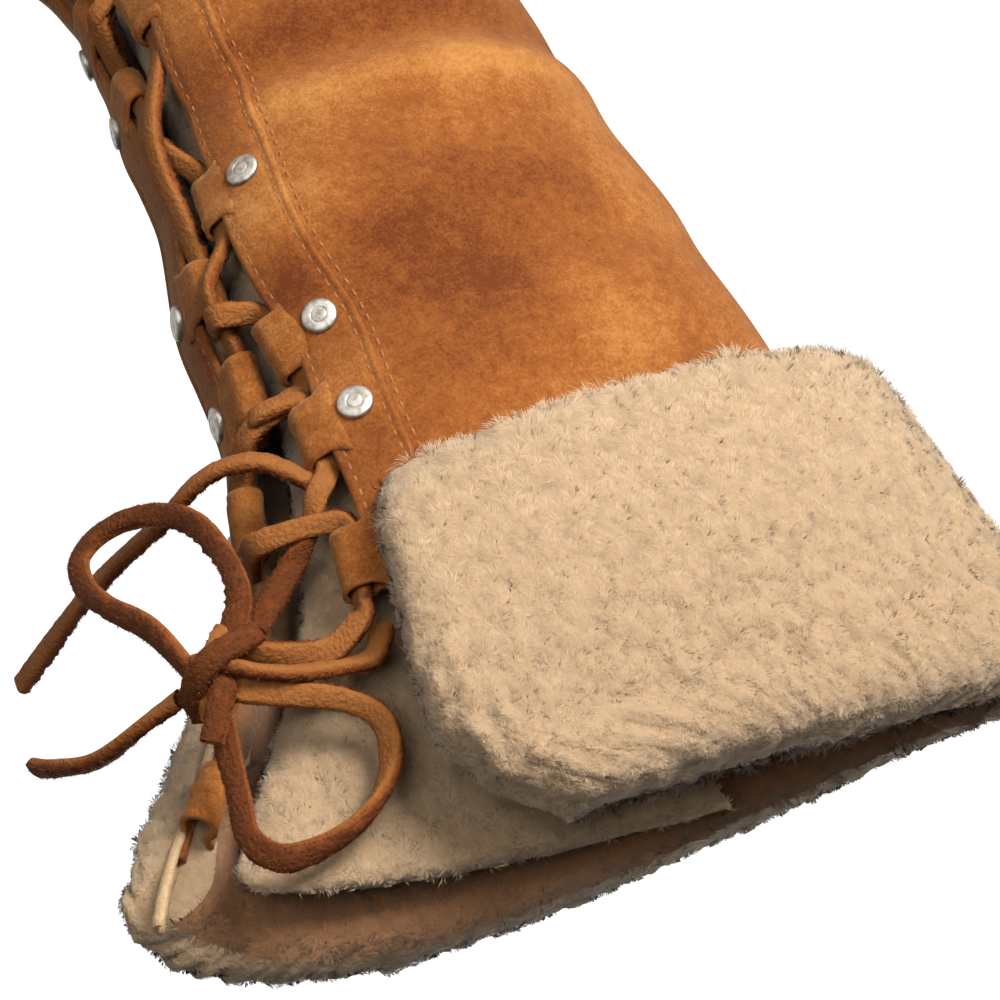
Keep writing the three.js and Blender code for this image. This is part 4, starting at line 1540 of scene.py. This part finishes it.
@dataclass
class Cuff:
    """The turned-down shearling: wool from the hem over the fold and down into the leg."""

    hem_z: float = 284.0
    wall: float = 13.0
    back_extra: float = 3.2
    crest_rise: float = 4.0
    pile: float = 1.0
    swell: float = 0.8
    lock_height: float = 2.4
    round_part: float = 0.024
    hem_longer: float = 0.7
    fold_shorter: float = 0.45
    around: int = 420
    outer_rows: int = 69
    inner_rows: int = 30
    strips: int = 3

    def angles(self, high: Array, shy: Array = 0.0) -> Array:
        """Angles round the leg from the right front edge to the left, row by row.

        Args:
            high: parts of the height.
            shy: degrees that a row stays behind the front edges.

        Returns:
            Rows of angles.
        """
        level = mix(self.hem_z, COLLAR_Z + self.crest_rise, high)
        right = FORM.throat(Side.RIGHT, level) + at_height(CUFF_EDGE, "right", level) + shy
        left = 360 + FORM.throat(Side.LEFT, level) - at_height(CUFF_EDGE, "left", level) - shy
        part = np.linspace(0, 1, self.around)
        return right[:, None] + (left - right)[:, None] * part

    def profile(self) -> tuple[Array, Array, Array]:
        """The wool ground's section, hem to crest and down inside.

        Returns:
            Parts of the height, parts of the cuff's thickness, and depths of the inner wall.
        """
        wall, inner = np.linspace(0.18, 0.88, 60), np.linspace(0.9, 0.1, self.inner_rows)
        hem_high, hem_thick = (0.0, 0.0, 0.02, 0.06, 0.14), (0.12, 0.5, 0.72, 0.92, 1.0)
        fold_high = (0.93, 0.97, 0.995, 1.0, 1.0, 0.985, 0.95)
        fold_thick = (0.97, 0.86, 0.66, 0.4, 0.1, 0.0, 0.0)
        high = np.array([*hem_high, *wall, *fold_high, *inner])
        thick = np.array([*hem_thick, *np.ones(len(wall)), *fold_thick, *np.zeros(len(inner))])
        deep = np.zeros(len(high))
        deep[-len(inner) - 2 : -len(inner)] = (2.0, 4.0)
        deep[-len(inner) :] = FORM.wall - 2.0
        return high, thick, deep

    def ground(self) -> Array:
        """The wool ground's grid, under the pile.

        Returns:
            Rows by columns by 3 points.
        """
        high, thick, deep = self.profile()
        deg = self.angles(high, 1.5 * deep)
        z = mix(self.hem_z, FORM.collar_z(deg) + self.crest_rise - 0.7 * self.pile, high[:, None])
        full = self.wall + self.back_extra * (1 - np.cos(np.radians(deg))) / 2 - self.pile
        edge = np.minimum(np.arange(self.around), np.arange(self.around)[::-1]) / self.around
        taper = 0.1 + 0.9 * np.sqrt(1 - (1 - np.clip(edge / self.round_part, 0, 1)) ** 2)
        out = thick[:, None] * full * taper - deep[:, None] + 1.6 * (deep[:, None] == 0)
        return FORM.raised(z, deg, out)

    def build(self) -> None:
        """Makes the hide under the wool, the wool's ground and the wool."""
        grid = self.ground()
        bumps = self.swell * cloud(grid, 14.0, 3) + self.lock_height * (puffs(grid) - 0.45)
        curled = 0.3 + 0.7 * smoothstep(np.linspace(0, 1, self.outer_rows + self.inner_rows), 0.2, 0.75)
        curled = np.concatenate([curled, np.full(len(grid), curled[-1])])[: len(grid), None]
        curled[self.outer_rows - 2 :] *= 0.45
        bumped = grid + grid_normals(grid) * (bumps * curled)[..., None]
        outside, inside = bumped[: self.outer_rows + 1], bumped[self.outer_rows :]
        ground = add_sheet("cuff_ground", outside, FELT)
        add_sheet("cuff_lining", inside, FELT_PAINTED_SHADE)
        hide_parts("cuff")
        for side, edge in ((Side.RIGHT, 0), (Side.LEFT, -1)):
            self.close_front(side, outside[6:, edge], inside[:, edge][::-1])
        self.make_hide()
        cuts = np.linspace(0, self.around - 1, self.strips + 1).astype(int)
        for number, (a, b) in enumerate(zip(cuts, cuts[1:]), 1):
            part = bumped[2 : self.outer_rows, a : b + 1]
            Fleece(seed=number).grow(f"cuff_wool_{number}", part, self.flow, self.grown)
        # The wool inside the leg is a dark brown copy: painted shade.
        inside_painted_shade = Fleece(
            seed=9, density=2.4, width=0.26, root=(0.18, 0.085, 0.035), tip=(0.25, 0.125, 0.055)
        )
        inside_painted_shade.grow("cuff_wool_inside", inside, self.flow, self.grown)
        self.make_binding()

    def flow(self, place: Array) -> Array:
        """The way the tufts lie: towards the hem, swirling a little, and over the fold at the top.

        Args:
            place: the tufts' places, parts of the height and of the way round.

        Returns:
            Vectors.
        """
        swirl = np.sin(place[:, 1] * 37) * np.cos(place[:, 0] * 23)
        over = 1.7 * smoothstep(place[:, 0], 0.78, 0.95)
        return np.stack([0.5 * swirl, 0.3 * np.cos(place[:, 1] * 51), -0.8 + 0.3 * swirl + over], -1)

    def grown(self, place: Array) -> Array:
        """The wool's length, uneven in broad patches, longer at the hem and shorter at the fold.

        Args:
            place: the tufts' places, parts of the height and of the way round.

        Returns:
            Parts of the full length.
        """
        patches = 1.0 + 0.15 * np.sin(place[:, 1] * 23 + 2 * np.sin(place[:, 0] * 9))
        hem = (1 + self.hem_longer) - self.hem_longer * smoothstep(place[:, 0], 0.0, 0.08)
        return patches * (hem - self.fold_shorter * smoothstep(place[:, 0], 0.85, 1.0))

    def close_front(self, side: Side, outer: Array, inner: Array) -> None:
        """Closes the front edge between the turned-down wool and the lining.

        Args:
            side: which edge.
            outer: the wool's edge, going up.
            inner: the lining's edge, going up.
        """
        top = min(outer[:, 2].max(), inner[:, 2].max())
        level = np.linspace(max(outer[:, 2].min(), inner[:, 2].min()), top, 40)
        lines = [between(level, e[:, 2], e) for e in (outer, inner)]
        strip = np.stack([mix(lines[0], lines[1], f) for f in np.linspace(0, 1, 6)], 1)
        add_sheet(f"cuff_front_{side.value}", strip, FELT)

    def make_hide(self) -> None:
        """The cuff's suede side, seen as a thin edge in front and at the hem."""
        high = np.linspace(0, 0.86, 40)
        deg = self.angles(high)
        z = mix(self.hem_z + 2.0, FORM.collar_z(deg), high[:, None])
        grids = [FORM.raised(z, deg, out) for out in (2.3, 0.5)]
        points, faces = plate(*grids)
        piece = add_mesh("cuff_hide", points, faces, SUEDE_EDGE)
        store(piece, "nap_and_painted_light", Stored.NUMBER, np.zeros(len(points)))

    def make_binding(self) -> None:
        """The stitched cream strip along the left front edge."""
        heights = np.arange(300, 347, 1.5)
        across = np.linspace(-2.6, 1.6, 6)
        lift = np.array([1.6, 2.6, 2.9, 2.9, 2.7, 2.0])
        front = Upper().strip(Side.LEFT, heights, across, lift)
        points, faces = plate(front, Upper().strip(Side.LEFT, heights, across, lift - 1.2))
        piece = add_mesh("cuff_binding", points, faces[:, ::-1], SKIN)
        store(piece, "nap_and_painted_light", Stored.NUMBER, np.zeros(len(points)))
        line = front[:, 3]
        start, end = line[1:-1:2], mix(line[1:-1:2], line[2::2], 0.8)
        up = -grid_normals(front)[1:-1:2, 3]
        stitches("cuff_binding_stitches", start, end, up, (0.35, 0.35), THREAD_PALE)


@dataclass
class Tongue:
    """The shearling tongue, wool side out."""

    top_right: float = 367.0
    top_left: float = 341.0
    thick: float = 7.0
    pile: float = 1.4
    low: float = 90.0

    def face(self, high: Array, across: Array, depth: Array) -> Array:
        """Points of the tongue.

        Args:
            high: parts of its height.
            across: parts of its breadth from its left edge.
            depth: behind its front face.

        Returns:
            The points.
        """
        z = mix(self.low, mix(self.top_left, self.top_right, across), high)
        deg = mix(at_height(TONGUE, "left", z), at_height(TONGUE, "right", z), across)
        lean = at_height(TONGUE, "lean", z) * across
        return FORM.raised(z, deg, -at_height(TONGUE, "inset", z) - lean - depth)

    def build(self) -> None:
        """Makes the tongue's ground and the wool on it."""
        rise = np.concatenate([np.linspace(0, 0.985, 120), [0.993, 0.985], np.linspace(0.97, 0, 30)])
        top_depth = [self.thick / 2 + 1, self.thick - 0.5]
        depth = np.concatenate([np.full(120, self.pile), top_depth, np.full(30, self.thick - 0.3)])[:, None]
        across = np.linspace(0, 1, 60)
        thin = 1.6 * (1 - smoothstep(np.minimum(across, 1 - across), 0, 0.05))
        grid = self.face(rise[:, None], across[None], depth + thin * np.sign(self.thick / 2 - depth))
        bumped = grid + grid_normals(grid) * (cloud(grid, 4.0, 5) * 0.6)[..., None]
        piece = add_sheet("tongue_ground", bumped, FELT)
        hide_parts("tongue")
        Fleece(seed=21, density=3.0, width=0.24).grow("tongue_wool", bumped[30:126], self.flow, self.grown)

    def grown(self, place: Array) -> Array:
        """The wool's length, full everywhere."""
        return np.ones(len(place))

    def flow(self, place: Array) -> Array:
        """The way the tufts lie: down the leg, spreading to the sides."""
        x, y = 0.2 * np.sin(place[:, 1] * 19), 0.4 * np.cos(place[:, 0] * 29)
        return np.stack([x, y, np.full(len(place), -0.7)], -1)


@dataclass
class Sole:
    """The crepe sole and the wool insole."""

    forefoot: float = 13.5
    heel_lift: float = 8.5
    arch: float = 3.2
    toe_spring: float = 9.5
    # Parts of the sole's height and distances out of the hide, from the tread up over the welt line.
    walls: tuple = (
        (0.0, 1.2), (0.06, 2.2), (0.2, 2.5), (0.62, 2.5), (0.68, 1.9), (0.74, 2.6), (0.93, 2.6), (1.0, 1.8),
    )
    # The insole's heights above the sole and distances out of the hide.
    inlay: tuple = ((0.4, -7.6), (3.0, -7.6), (4.2, -9.0))
    grooves: tuple = (-108, -94, -80, 44, 57, 70, 83, 96, 109)
    groove: tuple = (3.5, 2.5)

    def spring(self, x: Array) -> Array:
        """How far the toe has begun to lift, 0 behind the ball."""
        return np.clip((np.asarray(x, dtype=float) - 95) / 52, 0, 2) ** 2

    def bottom(self, x: Array) -> Array:
        """The tread's height."""
        arch = np.clip((np.asarray(x, dtype=float) + 62) / 97, 0, 1)
        return self.arch * np.sin(np.pi * arch) ** 2 + self.toe_spring * self.spring(x)

    def top(self, x: Array) -> Array:
        """The sole's upper face."""
        lift = self.heel_lift * (1 - smoothstep(x, -60, 60))
        return self.forefoot + lift + 0.8 * self.toe_spring * self.spring(x)

    def part_way(self, part: float, x: Array) -> Array:
        """A height between the tread and the sole's upper face."""
        return mix(self.bottom(x), self.top(x), part)

    def above(self, up: float, x: Array) -> Array:
        """A height above the sole's upper face."""
        return self.top(x) + up

    def outline(self, height: Spread, out: float, count: int) -> Array:
        """The form's outline where it meets a height that follows x.

        Args:
            height: the height at x.
            out: distance out of the hide.
            count: points in all.

        Returns:
            A closed outline, right side toe to heel and back along the left.
        """
        sides = []
        t = np.linspace(0.0, 11.2, 400)
        for sign in (1, -1):
            deg = sign * np.linspace(30, 180, 300)
            points = FORM.point(t[:, None], deg[None], out)
            over = points[..., 2] - height(points[..., 0])
            kept = []
            for ring, rise in zip(points, over):
                if rise[0] > 0 > rise[-1]:
                    k = int(np.argmax(rise < 0))
                    f = rise[k - 1] / (rise[k - 1] - rise[k])
                    kept.append(mix(ring[k - 1], ring[k], f))
            sides.append(np.array(kept))
        loop = np.concatenate([sides[0], sides[1][::-1]])
        loop = np.concatenate([loop, loop[:1]])
        gone = walked(loop)
        even = np.linspace(0, gone[-1], count, endpoint=False)
        return between(even, gone, loop)

    def block(self, levels: tuple, count: int = 260) -> tuple[Array, Array]:
        """A closed block through outlines, with bands across above and below.

        Args:
            levels: pairs of a height function and a distance out of the hide, bottom to top.
            count: points in each outline.

        Returns:
            Points and faces.
        """
        rings = [self.outline(height, out, count) for height, out in levels]
        closed = np.array([np.concatenate([r, r[:1]]) for r in rings])
        faces = [grid_quads(len(rings), count + 1)]
        near, after = np.arange(count // 2 - 1), np.arange(1, count // 2)
        across = np.stack([near, after, count - 1 - after, count - 1 - near], -1)
        faces += [across, across[:, ::-1] + (len(rings) - 1) * (count + 1)]
        return closed.reshape(-1, 3), np.concatenate(faces)

    def build(self) -> None:
        """Makes the sole with its lugs, its welt line and the insole."""
        points, faces = self.block(tuple((partial(self.part_way, f), out) for f, out in self.walls))
        sole = add_mesh("outsole_crepe", points, faces, CREPE, 0.02)
        self.cut_lugs(sole)
        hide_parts("outsole")
        points, faces = self.block(tuple((partial(self.above, up), out) for up, out in self.inlay), 200)
        inlay = add_mesh("insole_wool", points, faces, FELT, 0.02)
        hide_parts("insole")

    def cut_lugs(self, sole: Piece) -> None:
        """Cuts the tread's cross grooves.

        Args:
            sole: the sole's object.
        """
        work = bmesh.new()
        for x in self.grooves:
            place = Matrix.Translation(Vector((x * MM, 0, float(self.bottom(x)) * MM)))
            size = Matrix.Diagonal((self.groove[0] * MM, 0.2, 2 * self.groove[1] * MM, 1))
            bmesh.ops.create_cube(work, size=1, matrix=place @ size)
        mesh = bpy.data.meshes.new("groove_bars")
        work.to_mesh(mesh)
        work.free()
        bars = bpy.data.objects.new("groove_bars", mesh)
        bpy.context.scene.collection.objects.link(bars)
        cut = sole.modifiers.new("grooves", "BOOLEAN")
        cut.operation, cut.solver, cut.object = "DIFFERENCE", "EXACT", bars
        with bpy.context.temp_override(object=sole, active_object=sole):
            bpy.ops.object.modifier_apply(modifier=cut.name)
        bpy.data.objects.remove(bars)


@dataclass
class Studio:
    """The camera at the photograph's angle, the floor and the soft lights."""

    azimuth: float = 25.0
    elevation: float = 26.0
    roll: float = 30.0
    target: tuple = (-42.5, -25.0, 293.0)
    distance: float = 620.0
    focal_pixels: float = 3024.0
    aim: tuple = (-0.03, 0, 0.28)
    sky: float = 0.09
    floor_half: float = 8.0
    floor_glow: float = 0.78

    def camera(self) -> None:
        """Places the camera, rolled so that the leg points down to the right as in the photograph."""
        a, e, r = (math.radians(v) for v in (self.azimuth, self.elevation, self.roll))
        back = Vector((math.sin(a) * math.cos(e), -math.cos(a) * math.cos(e), math.sin(e)))
        right = Vector((math.cos(a), math.sin(a), 0))
        up = back.cross(right)
        across = -math.cos(r) * right + math.sin(r) * up
        above = -(math.sin(r) * right + math.cos(r) * up)
        data = bpy.data.cameras.new("camera")
        data.sensor_width, data.sensor_fit = SENSOR, "HORIZONTAL"
        data.lens = self.focal_pixels * SENSOR / IMAGE_SIDE
        data.clip_start, data.clip_end = 0.01, 50
        camera = bpy.data.objects.new("camera", data)
        turned = Matrix((across, above, back)).transposed().to_4x4()
        spot = (Vector(self.target) + back * self.distance) * MM
        camera.matrix_world = Matrix.Translation(spot) @ turned
        bpy.context.scene.collection.objects.link(camera)
        bpy.context.scene.camera = camera

    def light(self, lamp: Lamp) -> None:
        """A square soft light aimed at the cuff.

        Args:
            lamp: its name, place, size and power.
        """
        data = bpy.data.lights.new(lamp.name, "AREA")
        data.energy, data.size = lamp.power, lamp.size
        made = bpy.data.objects.new(lamp.name, data)
        made.location = lamp.place
        aim = Vector(self.aim) - Vector(lamp.place)
        made.rotation_euler = aim.to_track_quat("-Z", "Y").to_euler()
        bpy.context.scene.collection.objects.link(made)

    def floor(self) -> None:
        """A wide pale floor."""
        h = self.floor_half
        mesh = bpy.data.meshes.new("floor")
        mesh.from_pydata([(-h, -h, 0), (h, -h, 0), (h, h, 0), (-h, h, 0)], [], [(0, 1, 2, 3)])
        floor = bpy.data.objects.new("floor", mesh)
        bpy.context.scene.collection.objects.link(floor)
        paint = Shader("pale_floor")
        paint.set(Base_Color=(0.9, 0.9, 0.9, 1), Roughness=0.9)
        paint.set(Emission_Color=(1, 1, 1, 1), Emission_Strength=self.floor_glow)
        mesh.materials.append(paint.material)
        floor.visible_diffuse = False

    def lights(self) -> None:
        """Low soft light from the viewer's side, a weaker one from behind the boot, and a pale sky."""
        for lamp in LAMPS:
            self.light(lamp)
        world = bpy.context.scene.world or bpy.data.worlds.new("world")
        bpy.context.scene.world = world
        world.use_nodes = True
        sky = world.node_tree.nodes["Background"]
        sky.inputs["Color"].default_value = (1, 1, 1, 1)
        sky.inputs["Strength"].default_value = self.sky
        bpy.context.scene.view_settings.view_transform = "Standard"


def main() -> None:
    """Builds the boot piece by piece."""
    logging.basicConfig(level=logging.INFO, format="%(name)s %(message)s")
    studio = Studio()
    studio.camera()
    Lace().build()
    Upper().build()
    Tabs().build()
    Cuff().build()
    Tongue().build()
    Sole().build()
    studio.floor()
    studio.lights()


if __name__ == "__main__":
    main()
